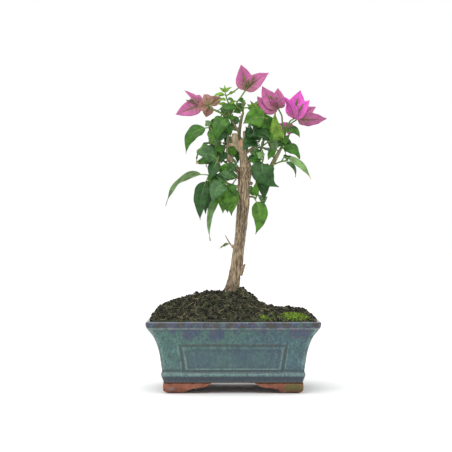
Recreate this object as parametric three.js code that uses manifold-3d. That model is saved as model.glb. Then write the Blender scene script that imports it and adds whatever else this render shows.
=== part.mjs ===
// A bougainvillea bonsai in its glazed rectangular pot, in millimetres, +Z up.
// The pot stands on z = 0 and its front faces -Y. The trunk leans to +X, the pot's right.
// Every limb, leaf, bract and flower tube is one cylinder bent along its own curve, and the
// foliage grows from short rows of real sizes and from a seeded rule that fills the crown behind.
import * as THREE from "three";
import { mergeVertices } from "three/addons/utils/BufferGeometryUtils.js";
import Module from "manifold-3d";

const wasm = await Module();
wasm.setup();

// Clearance between pieces that rest on each other
const GAP = 0.3;

// Pot: size at the rim, heights, and how far the outside stands in from the rim at each height
const POT_WIDTH = 181;
const POT_DEPTH = 131;
const POT_CORNER = 6;
const POT_UNDERSIDE = 11;
const POT_FLOOR = 17;
const RIM_TOP = 75.5;
const RIM_LEDGE = 8;
const LEDGE_FOOT = 70;
const RIM_FLARE = 1.2;
const WALL = 6;
const OUTSIDE = [
  [17.8, POT_UNDERSIDE],
  [16.6, 15.6],
  [15.4, 19.2],
  [15.6, 21.8],
  [16.3, 24.2],
  [15.2, 31],
  [13.7, 42],
  [10.9, 52],
  [8, 59],
  [5.6, 62.4],
  [2.9, 66],
  [1.1, 68.6],
  [0.4, 70.6],
  [0, 73.4],
  [1.4, RIM_TOP],
];

// Framed panel on each wall: a groove round a shallow sunk field
const PANEL_TOP = 51;
const PANEL_BOTTOM = 23.8;
const PANEL_TAPER = 4;
const PANEL_MARGIN = 34.5;
const GROOVE_WIDTH = 2.2;
const GROOVE_DEPTH = 1.2;
const BEAD_WIDTH = 2.8;
const FIELD_DEPTH = 0.7;

// Feet: one at each corner, an L with a stepped, rounded inner end
const FOOT_LENGTH = 50;
const FOOT_SIDE_LENGTH = 34;
const FOOT_THICKNESS = 14;
const FOOT_ROUND = 5;
const FOOT_FLAT = 0.38;
const DRAIN_RADIUS = 6;
const DRAIN_SPACING = 70;

// Soil: a low plateau with a hump round the trunk, and a level seat under the trunk's foot
const SOIL_OVER_LEDGE = 4;
const SOIL_EDGE = RIM_TOP + 1.6;
const PLATEAU_HEIGHT = 10;
const HUMP_HEIGHT = 18;
const HUMP_LEFT = -18;
const HUMP_RIGHT = 5;
const HUMP_FALL_LEFT = 46;
const HUMP_FALL_RIGHT = 23;
const HUMP_FALL_DEPTH = 40;
const SOIL_LUMP = 1.2;
const SEAT_Z = 103.4;
const SEAT_RADIUS = 11;

// Trunk: height, sideways lean, depth and radius from its flat foot to its sawn top
const TRUNK = [
  [-1.4, -1, SEAT_Z + GAP, 8.6],
  [-0.6, -1, 109, 7],
  [1.6, 0, 120, 6.2],
  [4.5, 1, 135, 6],
  [6.2, 1.5, 150, 5.5],
  [8.2, 1.5, 165, 5.5],
  [9.4, 1, 180, 5.8],
  [10.7, 0.5, 195, 6.3],
  [11.3, 0, 210, 6.35],
  [12, 0, 224, 6.5],
  [13.4, 0, 234, 6.9],
  [12.7, 0, 241, 5.5],
  [11, 0, 250, 3.7],
  [10, 0, 258, 3.2],
  [9.9, 0, 266, 2.4],
];

// Limbs: [x, y, z, radius] from the foot of each to its tip
const LIMBS = {
  trunk_knot_right: [[8, -1, 133, 2.8], [13.2, -2, 132.6, 1.9]],
  trunk_knot_left: [[4, 0, 150, 2.8], [-1.2, -1, 152.3, 1.7]],
  stub_right: [[14, 1, 221, 2.4], [20.8, 3, 218.8, 1.7]],
  stub_left: [[7.8, -1, 247, 2.6], [4.2, -1.5, 260, 2.6], [1.7, -2, 272.6, 2.2]],
  leader: [
    [9.3, 2, 251, 2.2], [8.6, 4.6, 262, 2], [8, 4.4, 275, 1.8], [8.8, 2.5, 288, 1.5], [10.4, 1, 295, 1.3],
  ],
  bough_left_top: [[8, 3, 273, 1.4], [3.2, 2.4, 278.6, 1.3], [-1.4, 1, 286.4, 1.2]],
  bough_left_upright: [
    [9, 2, 233, 2], [-2.4, 5, 241, 1.6], [-6.6, 5, 249, 1.5], [-5.4, 5, 262, 1.3], [-5, 4, 273, 1.1],
  ],
  bough_left_low: [[8, 0, 225, 2], [-1, -3, 227.2, 1.7], [-8, -5, 229, 1.4]],
  bough_left_rise: [[-8.3, -4, 230.8, 1.4], [-13.6, -1, 236, 1.3], [-16.8, 0, 247, 1.2]],
  bough_left_hang: [[8, -1, 214.4, 1.9], [0.6, -6, 216.4, 1.5], [-3.8, -9, 218.2, 1.2]],
  bough_right_low: [[14, 1, 234, 3.2], [27, 5, 236.5, 2.6], [38.4, 6, 238.4, 2.4]],
  bough_right_up: [[40.6, 6, 236.6, 2.5], [45.8, 6, 246.6, 2.3], [50.6, 5, 255.2, 2]],
  bough_right_inner: [[11, 1, 250, 2], [19.5, 5, 256, 1.6], [27, 5, 263, 1.3]],
  bough_back_left: [[9, 2, 229, 2.2], [2, 14, 234, 1.8], [-6, 23, 241, 1.4]],
  bough_back_right: [[13, 2, 239, 2.2], [19, 13, 244, 1.8], [26, 22, 251, 1.4]],
  bough_back_low: [[11, 2, 205, 2], [12.5, 12, 209, 1.6], [14, 19, 212, 1.3]],
};

// Outlines: [part of the length, part of the width] from foot to tip
const LEAF_OUTLINE = [
  [0, 0.08],
  [0.14, 0.09],
  [0.29, 0.8],
  [0.5, 1],
  [0.76, 0.58],
  [1, 0.03],
];
const BRACT_OUTLINE = [
  [0, 0.12],
  [0.14, 0.76],
  [0.38, 1],
  [0.7, 0.62],
  [1, 0.03],
];
const RULE_LEAF_OUTLINE = [
  [0, 0.08],
  [0.24, 0.6],
  [0.52, 1],
  [1, 0.03],
];
const LEAF_THICKNESS = 0.9;
const BRACT_THICKNESS = 0.8;
const LEAF_FOLD = 0.14;
const BRACT_FOLD = 0.1;
const PETIOLE_WIDTH = 1.2;
const TUBE_RADIUS = 1.05;

// Ways that a blade's upper side can face: up and a little to the front, halfway, and to the front
const SKY = [0, -0.35, 1];
const HALFWAY = [0, -0.8, 0.6];
const FRONT = [0, -1, 0.25];

// The rule that fills the crown
const GOLDEN_ANGLE = (137.5 * Math.PI) / 180;
const RULE_LEAF_LENGTH = 28;
const RULE_LEAF_WIDTH = 15;
const RULE_LEAVES_A_TWIG = 5;
const LIMB_CLEARANCE = 1.5;
const SPACING = 2.4;
const TEST_ALONG = [0.24, 0.4, 0.56, 0.72, 0.86, 1];
const TEST_ACROSS = [-0.9, -0.45, 0, 0.45, 0.9];

// Foliage. Each mass has a stem that starts 0.3 mm from its bough, twigs on the stem, leaves that
// are placed (at: part of the way along the twig, to: from the leaf's foot to its tip, wide: its
// width, sag: how far it arches up, bow: how far it bends sideways, face: the way its upper side
// looks, roll: a further turn in degrees), flowers, and a space that the rule fills from a seed.
const MASSES = [
  {
    name: "foliage_left_low",
    stem: {
      path: [[-8.6, -5.4, 228.8], [-17, -8, 227.6], [-23.5, -10, 228.4], [-26.4, -11, 226.2]],
      r: [1.1, 0.8],
    },
    leaves: [
      { at: 0.82, to: [-47, -9, -33], wide: 16, sag: 0.18, roll: 52 },
      { at: 0.98, to: [-8.6, -3, -46.4], wide: 17, sag: 0.06, bow: 0.05, face: FRONT },
      { at: 0.9, to: [-3.4, 8, -40], wide: 16, sag: 0.06, face: FRONT },
      { at: 0.1, to: [2.6, -4, 11.4], wide: 8.6, sag: 0.1, face: FRONT },
      { at: 0.3, to: [-9, -7, -12], wide: 10, sag: 0.14, face: FRONT },
    ],
    space: { centre: [-24, 14, 220], radii: [24, 30, 30] },
    seed: 11,
    twigs: 2,
    heading: 80,
  },
  {
    name: "foliage_left_mid",
    stem: {
      path: [[-17, 0, 247.8], [-17.6, -2, 257], [-18.2, -3, 267], [-21.4, -4, 275], [-24.6, -5, 279.2]],
      r: [1.1, 0.7],
    },
    twigs_placed: [
      { at: 0.12, path: [[-15.4, -7, 247], [-16.4, -10, 243.4]], r: [0.9, 0.7] },
    ],
    leaves: [
      { twig: 0, at: 0.9, to: [-23, -6, 4], wide: 18, sag: 0.12, face: HALFWAY },
      { at: 0.02, to: [-23, -2, -6], wide: 15, sag: 0.14, face: HALFWAY },
      { twig: 0, at: 1, to: [-7.5, -6, -21], wide: 13.5, sag: 0.08, face: FRONT },
      { at: 0.95, to: [-26, -7, -28], wide: 17, sag: 0.34, face: HALFWAY },
      { at: 1, to: [-5, 3, 6.5], wide: 8, sag: 0.1, face: FRONT },
      { at: 0.78, to: [1.4, -8, -16], wide: 11.5, sag: 0.12, bow: -0.1, face: FRONT },
      { at: 0.3, to: [6, -9, -9.5], wide: 10.5, sag: 0.15, face: FRONT },
    ],
    space: { centre: [-26, 18, 258], radii: [26, 32, 34] },
    seed: 23,
    twigs: 3,
    heading: 95,
  },
  {
    name: "foliage_left_hang",
    stem: { path: [[-4.4, -9.9, 218.5], [-7, -12, 219.6], [-10.4, -14, 220.6]], r: [1, 0.8] },
    leaves: [
      { at: 0.2, to: [-17.5, -13, -22], wide: 18, sag: 0.3, face: HALFWAY },
      { at: 0.1, to: [-19.5, 6, -61], wide: 11, sag: 0.04, bow: 0.16, face: [-0.6, -0.8, 0.1] },
      { at: 0.05, to: [-4, -7, -34.6], wide: 20, sag: 0.08, face: FRONT },
      { at: 0.1, to: [7, -5, -33.6], wide: 19, sag: 0.08, face: FRONT },
      { at: 0.14, to: [8.6, -6, -14], wide: 8, sag: 0.12, face: FRONT },
      { at: 0.3, to: [-14, -2, 8], wide: 11.5, sag: 0.16, face: FRONT },
    ],
    space: { centre: [-14, 8, 206], radii: [20, 26, 24] },
    seed: 31,
    twigs: 1,
    heading: 70,
  },
  {
    name: "foliage_left_upright",
    stem: { path: [[-5.05, 4, 273.6], [-6, 4, 279], [-8, 3, 283]], r: [0.9, 0.7] },
    leaves: [
      { at: 0.2, to: [-10, -15, -15], wide: 9, sag: 0.12, face: HALFWAY },
      { at: 0.55, to: [-10, -3, -9], wide: 11.5, sag: 0.2, face: FRONT },
      { at: 0.9, to: [5, -6, -13], wide: 10, sag: 0.12, face: FRONT },
    ],
    space: { centre: [-12, 20, 272], radii: [22, 30, 26] },
    seed: 43,
    twigs: 2,
    heading: 110,
  },
  {
    name: "foliage_left_top",
    stem: {
      path: [[-1.7, 0.9, 287], [-4.4, -1, 292], [-4.6, -1, 303], [-7.2, -1, 311.4], [-8.4, -1, 316]],
      r: [1.1, 0.6],
    },
    twigs_placed: [
      { at: 0.08, path: [[-13, -5, 293.6], [-20.6, -6, 297.2], [-21, -3, 300]], r: [0.8, 0.7] },
      { at: 0.08, path: [[-14, 4, 295.6], [-24, 6, 300], [-34.6, 4, 303.4]], r: [0.8, 0.7] },
      { at: 0.8, path: [[-1, -3, 316], [5.8, -4, 320.6]], r: [0.7, 0.7] },
    ],
    leaves: [
      { at: 0.05, to: [-14.5, -16, -25], wide: 18, sag: 0.42, face: HALFWAY },
      { at: 0.95, to: [7, -2, 6.6], wide: 3.4, sag: 0.15, face: FRONT },
      { at: 1, to: [-0.6, 0, 8], wide: 3, sag: 0.1, face: FRONT },
      { at: 0.97, to: [-6.6, 1, 6], wide: 3.4, sag: 0.1, face: FRONT },
      { at: 0.78, to: [-14.4, -3, -1.6], wide: 6.5, sag: 0.22, face: HALFWAY },
      { at: 0.62, to: [-11.5, -5, -1.4], wide: 5.6, sag: 0.16, face: HALFWAY },
      { twig: 2, at: 0.2, to: [7.4, -3, 2.4], wide: 3.4, sag: 0.1, face: FRONT },
    ],
    flowers: [
      {
        twig: 0,
        bracts: [
          { to: [-8.4, 10, 13.9], wide: 16, sag: 0.06, face: FRONT },
          { to: [-7.7, 11, -8.5], wide: 17, sag: 0, face: FRONT },
          { to: [9.2, 12, 9], wide: 16, sag: 0.08, face: FRONT },
        ],
        tubes: [[-5, 12, 3]],
      },
      {
        twig: 1,
        bracts: [
          { to: [-26.5, -8, -11], wide: 20, sag: 0, face: FRONT },
          { to: [-15, 10, 3], wide: 20, sag: 0.04, face: FRONT },
          { to: [-17.4, 0, 15.4], wide: 13, sag: 0.04, roll: 14 },
        ],
        tubes: [[-16, 1, 3], [-10, 2, 4.6]],
      },
    ],
    space: { centre: [-14, 20, 290], radii: [26, 30, 26] },
    seed: 57,
    twigs: 2,
    heading: 85,
  },
  {
    name: "foliage_top",
    stem: { path: [[10.55, 0.9, 295.6], [11, -1, 302], [12.6, -1, 308]], r: [1.2, 0.8] },
    twigs_placed: [
      { at: 0.02, path: [[3.6, -3, 303], [9, -3, 312], [13, -2, 318]], r: [0.9, 0.8] },
      { at: 0.3, path: [[17, -1, 300], [22.6, -2, 298.6]], r: [0.8, 0.7] },
    ],
    leaves: [
      { twig: 0, at: 0.12, to: [-21, -6, 0.5], wide: 15, sag: 0.24, face: HALFWAY },
      { at: 0.9, to: [-7, -3, 0], wide: 6, sag: 0.12, face: FRONT },
      { twig: 1, at: 0.95, to: [-3.8, -1, 8.6], wide: 3.6, sag: 0.1, face: FRONT },
      { twig: 1, at: 1, to: [4.4, -1, 9], wide: 3.8, sag: 0.1, face: FRONT },
      { twig: 1, at: 1, to: [8, 2, 3], wide: 3.6, sag: 0.1, face: FRONT },
      { twig: 1, at: 0.3, to: [10, -5, -3.5], wide: 8, sag: 0.16, face: HALFWAY },
    ],
    flowers: [
      {
        twig: 0,
        bracts: [
          { to: [-4.6, -1, 27.6], wide: 19, sag: -0.06, bow: 0.07, face: FRONT },
          { to: [25, 2, 19], wide: 17, sag: 0.05, face: FRONT },
          { to: [2, 18, 16], wide: 17, sag: 0.1, roll: 180 },
        ],
        tubes: [[-1.4, -3, 17], [3.4, -2, 12], [10.4, -2, 15]],
      },
    ],
    space: { centre: [12, 22, 296], radii: [22, 30, 26] },
    seed: 61,
    twigs: 2,
    heading: 90,
  },
  {
    name: "foliage_right_inner",
    stem: { path: [[27.3, 4.9, 263.5], [30.6, 2, 270], [30.4, -2, 277], [27, -5, 284]], r: [1.2, 0.8] },
    leaves: [
      { at: 0.5, to: [-15, -11, 22], wide: 23, sag: 0.06, bow: -0.04, face: FRONT },
      { at: 0.16, to: [-16, -15, 3], wide: 19, sag: 0.16, face: HALFWAY },
      { at: 0.02, to: [-17, -16, -10], wide: 17, sag: 0.2, face: FRONT },
      { at: 0.95, to: [5, -3, 13], wide: 14, sag: 0.1, face: FRONT },
      { at: 0.3, to: [12, -14, -8], wide: 13, sag: 0.2, face: FRONT },
      { at: 0.8, to: [14, -6, 2], wide: 13, sag: 0.1, face: FRONT },
    ],
    space: { centre: [28, 20, 276], radii: [26, 32, 28] },
    seed: 71,
    twigs: 2,
    heading: 80,
  },
  {
    name: "foliage_right_outer",
    stem: { path: [[50.9, 4.9, 255.8], [53.8, 4, 262], [55.4, 3, 269], [56.4, 2, 280]], r: [1.7, 1] },
    twigs_placed: [
      { at: 0.7, path: [[52.8, 0, 284], [52, -2, 291], [48.2, -3, 299]], r: [0.9, 0.8] },
      { at: 0.75, path: [[60, -3, 284], [64.6, -5, 287.6]], r: [0.9, 0.8] },
      { at: 0.98, path: [[63, 4, 284], [69, 5, 288]], r: [0.8, 0.8] },
      { at: 0.85, path: [[56, 10, 280], [57, 16, 279]], r: [0.8, 0.8] },
    ],
    leaves: [
      { at: 0.25, to: [-8, -9, 33], wide: 13, sag: 0.1, bow: 0.04, face: [0.3, -1, 0] },
      { at: 0.12, to: [20, -8, -11.4], wide: 15, sag: 0.32, face: HALFWAY },
      { at: 0.9, to: [15.4, -7, -9], wide: 11, sag: 0.22, face: HALFWAY },
      { at: 0.6, to: [2.4, 3, -12], wide: 7, sag: 0.12, face: FRONT },
      { at: 0.4, to: [-6, -12, -6], wide: 9, sag: 0.1, face: FRONT },
    ],
    flowers: [
      {
        twig: 0,
        bracts: [
          { to: [-16.9, 4, 23.8], wide: 18, sag: -0.06, face: FRONT },
          { to: [0, 8, 22.4], wide: 16, sag: -0.06, face: FRONT },
          { to: [-4, -12, 9], wide: 17, sag: 0.06 },
          { to: [-22.3, 2, 13], wide: 18, sag: -0.14, face: FRONT },
        ],
        tubes: [[-9.6, -3, 14], [-2, -3, 12]],
      },
      {
        twig: 1,
        bracts: [
          { to: [7.4, 6, 31], wide: 22, sag: -0.06, bow: -0.03, face: FRONT },
          { to: [-10.6, -4, 23], wide: 15, sag: 0.1, roll: 64 },
          { to: [17.4, 6, 20.5], wide: 14, sag: 0.03, face: FRONT },
        ],
        tubes: [[3.4, -2, 21], [10, -2, 16]],
      },
      {
        twig: 2,
        bracts: [
          { to: [31.2, -3, 0.7], wide: 21, sag: -0.03, roll: -62 },
          { to: [20.5, 10, 14], wide: 13, sag: 0.05, face: FRONT },
          { to: [8, 18, 8], wide: 14, sag: 0.1 },
        ],
        tubes: [[10, 6, 10]],
      },
      {
        twig: 3,
        bracts: [
          { to: [10, 4, -4], wide: 13, sag: 0.1, face: FRONT },
          { to: [-7, 10, 6], wide: 13, sag: 0, face: FRONT },
          { to: [2, 15, 5], wide: 13, sag: 0, roll: 180 },
        ],
        tubes: [[2, 9, 2]],
      },
    ],
    space: { centre: [52, 24, 272], radii: [26, 32, 30] },
    seed: 83,
    twigs: 2,
    heading: 100,
  },
  {
    name: "foliage_right_arm",
    stem: { path: [[44.9, 3, 240], [50, 1, 242], [58.6, -1, 243.8]], r: [0.9, 0.8] },
    twigs_placed: [
      { at: 0.6, path: [[53.6, -2, 245.6], [55, -3, 248]], r: [0.8, 0.7] },
    ],
    leaves: [
      { twig: 0, at: 0.9, to: [28, -8, -24], wide: 12, sag: 0.2, face: HALFWAY },
      { at: 0.7, to: [13, 2, -17], wide: 8, sag: 0.3, roll: 70 },
      { at: 0.85, to: [9, 13, 3], wide: 12, sag: 0.2 },
    ],
    space: { centre: [54, 20, 246], radii: [24, 30, 24] },
    seed: 97,
    twigs: 1,
    heading: 60,
  },
  {
    name: "foliage_right_low",
    stem: { path: [[30, 2.4, 237.4], [31, -4, 241], [32.4, -9, 246]], r: [1, 0.9] },
    leaves: [
      { at: 0.95, to: [17, -6, -31], wide: 24, sag: 0.06, bow: 0.24, face: FRONT },
      { at: 0.1, to: [3.4, -3, -37], wide: 16.5, sag: 0.04, face: FRONT },
      { at: 0.5, to: [-14, -6, 1], wide: 11, sag: 0.12, face: FRONT },
      { at: 0.9, to: [-8, -3, 6], wide: 9, sag: 0.12, face: FRONT },
    ],
    space: { centre: [34, 16, 226], radii: [18, 30, 28] },
    seed: 103,
    twigs: 1,
    heading: 100,
  },
  {
    name: "foliage_right_hang",
    stem: { path: [[17.7, -1.4, 205], [21.4, -4, 204.4], [24.6, -6, 202.6]], r: [1.1, 0.9] },
    leaves: [
      { at: 0.95, to: [-1, -6, -37], wide: 16, sag: 0.08, bow: -0.14, face: FRONT },
      { at: 0.4, to: [-1.5, -3, 12], wide: 7, sag: 0.1, face: FRONT },
      { at: 0.6, to: [2, -3, 17], wide: 8, sag: 0.14, bow: 0.16, face: FRONT },
    ],
    space: { centre: [26, 14, 204], radii: [14, 28, 24] },
    seed: 113,
    twigs: 1,
    heading: 70,
  },
  {
    name: "foliage_back_left",
    stem: { path: [[-6.3, 23.3, 241.3], [-12, 28, 247], [-15, 31, 259], [-13, 31, 272]], r: [1.2, 0.8] },
    leaves: [],
    space: { centre: [-17, 30, 250], radii: [30, 34, 44] },
    seed: 127,
    twigs: 9,
    heading: 40,
  },
  {
    name: "foliage_back_right",
    stem: { path: [[26.3, 22.3, 251.3], [31, 27, 258], [34, 29, 268], [36, 28, 282]], r: [1.2, 0.8] },
    leaves: [],
    space: { centre: [36, 30, 262], radii: [28, 34, 38] },
    seed: 131,
    twigs: 9,
    heading: -10,
  },
  {
    name: "foliage_back_low",
    stem: { path: [[14.05, 19.4, 212.2], [12, 26, 214], [7, 31, 216], [-2, 33, 217]], r: [1, 0.8] },
    leaves: [],
    space: { centre: [2, 28, 206], radii: [24, 32, 26] },
    seed: 139,
    twigs: 5,
    heading: 20,
  },
];

// Dry twig and its small leaf on the trunk's left knot
const SPUR = {
  path: [[-1.6, -1.05, 152.6], [-4.6, -2, 157], [-8.2, -3, 163.6]],
  r: [0.9, 0.5],
  leaf: { at: 0.25, to: [-11, -2, -5], wide: 3.6, sag: 0.1, roll: 50 },
};

// Colours, with roughness, from bark to bloom
const FINISH = {
  glaze: { color: 0x5f827a, roughness: 0.28 },
  clay: { color: 0x8c5541, roughness: 0.85 },
  soil: { color: 0x373226, roughness: 0.95 },
  bark: { color: 0x91785f, roughness: 0.85 },
  leaf: { color: 0x467d32, roughness: 0.5 },
};

function seededRandom(seed) {
  let state = seed;
  return () => {
    state = (state + 0x6d2b79f5) | 0;
    let t = Math.imul(state ^ (state >>> 15), 1 | state);
    t = (t + Math.imul(t ^ (t >>> 7), 61 | t)) ^ t;
    return ((t ^ (t >>> 14)) >>> 0) / 4294967296;
  };
}

// Solids and meshes

function toSolid(geometry) {
  const bare = geometry.index ? geometry.toNonIndexed() : geometry.clone();
  bare.deleteAttribute("normal");
  bare.deleteAttribute("uv");
  const merged = mergeVertices(bare, 1e-4);
  return new wasm.Manifold(
    new wasm.Mesh({
      numProp: 3,
      vertProperties: merged.attributes.position.array,
      triVerts: new Uint32Array(merged.index.array),
    }),
  );
}

function largestBody(solid) {
  const bodies = solid.decompose();
  return bodies.reduce((best, body) => (body.volume() > best.volume() ? body : best));
}

function toMesh(name, solid, finish) {
  const { numProp, vertProperties, triVerts } = largestBody(solid).getMesh();
  const positions = new Float32Array((vertProperties.length / numProp) * 3);
  for (let i = 0; i < positions.length / 3; i++) {
    positions.set(vertProperties.subarray(i * numProp, i * numProp + 3), i * 3);
  }
  const geometry = new THREE.BufferGeometry();
  geometry.setAttribute("position", new THREE.BufferAttribute(positions, 3));
  geometry.setIndex(new THREE.BufferAttribute(new Uint32Array(triVerts), 1));
  geometry.computeVertexNormals();
  const material = new THREE.MeshStandardMaterial({ ...finish, metalness: 0, flatShading: true });
  const mesh = new THREE.Mesh(geometry, material);
  mesh.name = name;
  return mesh;
}

// A cylinder whose every vertex is moved: place gets the ring's number, the angle round it, and
// whether the vertex is the centre of an end, and returns the point.
function bentCylinder(rings, sides, place) {
  const geometry = new THREE.CylinderGeometry(1, 1, rings - 1, sides, rings - 1);
  const position = geometry.attributes.position;
  const from = new THREE.Vector3();
  for (let i = 0; i < position.count; i++) {
    from.fromBufferAttribute(position, i);
    const ring = Math.round(from.y + (rings - 1) / 2);
    const isCentre = Math.hypot(from.x, from.z) < 0.5;
    const point = place(ring, Math.atan2(from.x, from.z), isCentre);
    position.setXYZ(i, point.x, point.y, point.z);
  }
  return geometry;
}

// Pot

// Points round a rectangle with rounded corners, anticlockwise from the middle of the front
function rectangleRing(halfX, halfY, corner, cornerSteps, sideSteps) {
  const corners = [
    [1, -1, -90],
    [1, 1, 0],
    [-1, 1, 90],
    [-1, -1, 180],
  ];
  const points = [];
  for (const [sx, sy, startAngle] of corners) {
    for (let i = 0; i <= cornerSteps; i++) {
      const angle = THREE.MathUtils.degToRad(startAngle + (90 * i) / cornerSteps);
      const x = sx * (halfX - corner) + corner * Math.cos(angle);
      const y = sy * (halfY - corner) + corner * Math.sin(angle);
      points.push(new THREE.Vector2(x, y));
    }
  }
  const divided = [];
  points.forEach((point, i) => {
    const next = points[(i + 1) % points.length];
    const isSide = (i + 1) % (cornerSteps + 1) === 0;
    const steps = isSide ? sideSteps : 1;
    for (let k = 0; k < steps; k++) divided.push(point.clone().lerp(next, k / steps));
  });
  return divided;
}

// A closed solid through a stack of rings, from the middle of its underside to that of its top
function loft(rings) {
  const sides = rings[0].length;
  const profile = [new THREE.Vector2(0, 0)];
  rings.forEach((ring, i) => profile.push(new THREE.Vector2(1, i)));
  profile.push(new THREE.Vector2(0, rings.length));
  const geometry = new THREE.LatheGeometry(profile, sides);
  const position = geometry.attributes.position;
  const centreOf = (ring) => ring.reduce((sum, p) => sum.add(p), new THREE.Vector3()).divideScalar(sides);
  const bottom = centreOf(rings[0]);
  const top = centreOf(rings[rings.length - 1]);
  for (let i = 0; i < position.count; i++) {
    const side = Math.floor(i / profile.length) % sides;
    const step = (i % profile.length) - 1;
    const point = step < 0 ? bottom : step === rings.length ? top : rings[step][side];
    position.setXYZ(i, point.x, point.y, point.z);
  }
  return toSolid(geometry);
}

function potRing(inset, z, cornerSteps = 4, sideSteps = 1) {
  const corner = Math.max(POT_CORNER - inset * 0.1, 3);
  const ring = rectangleRing(POT_WIDTH / 2 - inset, POT_DEPTH / 2 - inset, corner, cornerSteps, sideSteps);
  return ring.map((p) => new THREE.Vector3(p.x, p.y, z));
}

// The inside follows the outside at the wall's thickness and opens into the ledge of the rim
function insideProfile(clearance) {
  const walls = [4, 6, 7, 8].map((i) => [OUTSIDE[i][0] + WALL + clearance, OUTSIDE[i][1]]);
  const floor = [OUTSIDE[0][0] + WALL + clearance, POT_FLOOR + clearance];
  return [floor, ...walls, [RIM_LEDGE + clearance, LEDGE_FOOT]];
}

function panelShape(halfTop, halfBottom, height, inset) {
  const top = height / 2 - inset;
  const shape = new THREE.Shape();
  shape.moveTo(-halfBottom + inset, -top);
  shape.lineTo(halfBottom - inset, -top);
  shape.lineTo(halfTop - inset, top);
  shape.lineTo(-halfTop + inset, top);
  shape.closePath();
  return shape;
}

// The groove and the sunk field, as one solid to cut from the wall that faces the given way
function panelCutter(halfLength, wallDistance, turn) {
  const insetBottom = OUTSIDE[4][0];
  const insetTop = OUTSIDE[7][0];
  const rise = PANEL_TOP - PANEL_BOTTOM;
  const slope = Math.atan2(insetBottom - insetTop, rise);
  const height = rise / Math.cos(slope);
  const halfTop = halfLength;
  const halfBottom = halfLength - PANEL_TAPER;
  const groove = panelShape(halfTop, halfBottom, height, 0);
  groove.holes.push(panelShape(halfTop, halfBottom, height, GROOVE_WIDTH));
  const field = panelShape(halfTop, halfBottom, height, GROOVE_WIDTH + BEAD_WIDTH);
  const middle = wallDistance - (insetBottom + insetTop) / 2;
  const sink = (shape, depth) => {
    const geometry = new THREE.ExtrudeGeometry(shape, { depth: depth + 4, bevelEnabled: false });
    geometry.translate(0, 0, -depth);
    geometry.rotateX(Math.PI / 2 + slope);
    geometry.translate(0, -middle, (PANEL_TOP + PANEL_BOTTOM) / 2);
    geometry.rotateZ(turn);
    return toSolid(geometry);
  };
  return sink(groove, GROOVE_DEPTH).add(sink(field, FIELD_DEPTH));
}

function potBody() {
  const outer = loft(OUTSIDE.map(([inset, z]) => potRing(inset, z)));
  const cavity = insideProfile(0);
  cavity.push([RIM_LEDGE - RIM_FLARE, RIM_TOP + 1]);
  let body = outer.subtract(loft(cavity.map(([inset, z]) => potRing(inset, z))));
  const frontHalf = POT_WIDTH / 2 - PANEL_MARGIN;
  const sideHalf = POT_DEPTH / 2 - PANEL_MARGIN + 4;
  for (const turn of [0, Math.PI]) {
    body = body.subtract(panelCutter(frontHalf, POT_DEPTH / 2, turn));
    body = body.subtract(panelCutter(sideHalf, POT_WIDTH / 2, turn + Math.PI / 2));
  }
  for (const side of [-1, 1]) {
    const drain = new THREE.CylinderGeometry(DRAIN_RADIUS, DRAIN_RADIUS, 20, 16);
    drain.rotateX(Math.PI / 2);
    drain.translate((side * DRAIN_SPACING) / 2, 0, POT_UNDERSIDE);
    body = body.subtract(toSolid(drain));
  }
  return body;
}

// The outline of one arm of a foot, from its rounded outer corner to its stepped inner end
function footOutline(length, direction) {
  const top = POT_UNDERSIDE - GAP;
  const along = (part) => direction * length * part;
  const shape = new THREE.Shape();
  shape.moveTo(0, top);
  shape.lineTo(0, FOOT_ROUND);
  shape.quadraticCurveTo(0, 0, direction * FOOT_ROUND, 0);
  shape.lineTo(along(FOOT_FLAT), 0);
  shape.bezierCurveTo(along(0.5), 1.2, along(0.52), 5, along(0.68), 5.6);
  shape.bezierCurveTo(along(0.84), 6, along(0.9), 7, along(1), top);
  shape.closePath();
  return shape;
}

function footArm(length, direction) {
  const arm = new THREE.ExtrudeGeometry(footOutline(length, direction), {
    depth: FOOT_THICKNESS,
    bevelEnabled: false,
    curveSegments: 5,
  });
  arm.rotateX(Math.PI / 2);
  return arm;
}

// The foot at one corner: an arm along the long wall and one along the short wall
function foot(sideX, sideY) {
  const inset = OUTSIDE[0][0];
  const halfX = POT_WIDTH / 2 - inset;
  const halfY = POT_DEPTH / 2 - inset;
  const long = footArm(FOOT_LENGTH, -sideX);
  long.translate(sideX * halfX, sideY > 0 ? halfY : -halfY + FOOT_THICKNESS, 0);
  const short = footArm(FOOT_SIDE_LENGTH, -sideY);
  short.rotateZ(Math.PI / 2);
  short.translate(sideX > 0 ? halfX - FOOT_THICKNESS : -halfX, sideY * halfY, 0);
  return toSolid(long).add(toSolid(short));
}

// Soil

function lumps(x, y) {
  const long = Math.sin(x * 0.16 + 1.3) * Math.cos(y * 0.19 + 0.4);
  const short = Math.sin(x * 0.41 + y * 0.23) * Math.cos(y * 0.37 - x * 0.12 + 2);
  return SOIL_LUMP * (long + 0.8 * short);
}

function moundHeight(x, y) {
  const across = Math.abs(x) / (POT_WIDTH / 2 - SOIL_OVER_LEDGE);
  const along = Math.abs(y) / (POT_DEPTH / 2 - SOIL_OVER_LEDGE);
  const inside = (1 - across ** 12) * (1 - along ** 4);
  const left = Math.max(0, HUMP_LEFT - x) / HUMP_FALL_LEFT;
  const right = Math.max(0, x - HUMP_RIGHT) / HUMP_FALL_RIGHT;
  const hump = Math.exp(-((left + right) ** 2) - (y / HUMP_FALL_DEPTH) ** 2);
  const rise = (PLATEAU_HEIGHT + HUMP_HEIGHT * hump + lumps(x, y)) * Math.max(0, inside);
  const toTrunk = Math.hypot(x - TRUNK[0][0], y - TRUNK[0][1]);
  const seat = THREE.MathUtils.smoothstep(toTrunk, SEAT_RADIUS, SEAT_RADIUS * 2);
  return THREE.MathUtils.lerp(SEAT_Z, SOIL_EDGE + rise, seat);
}

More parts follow.
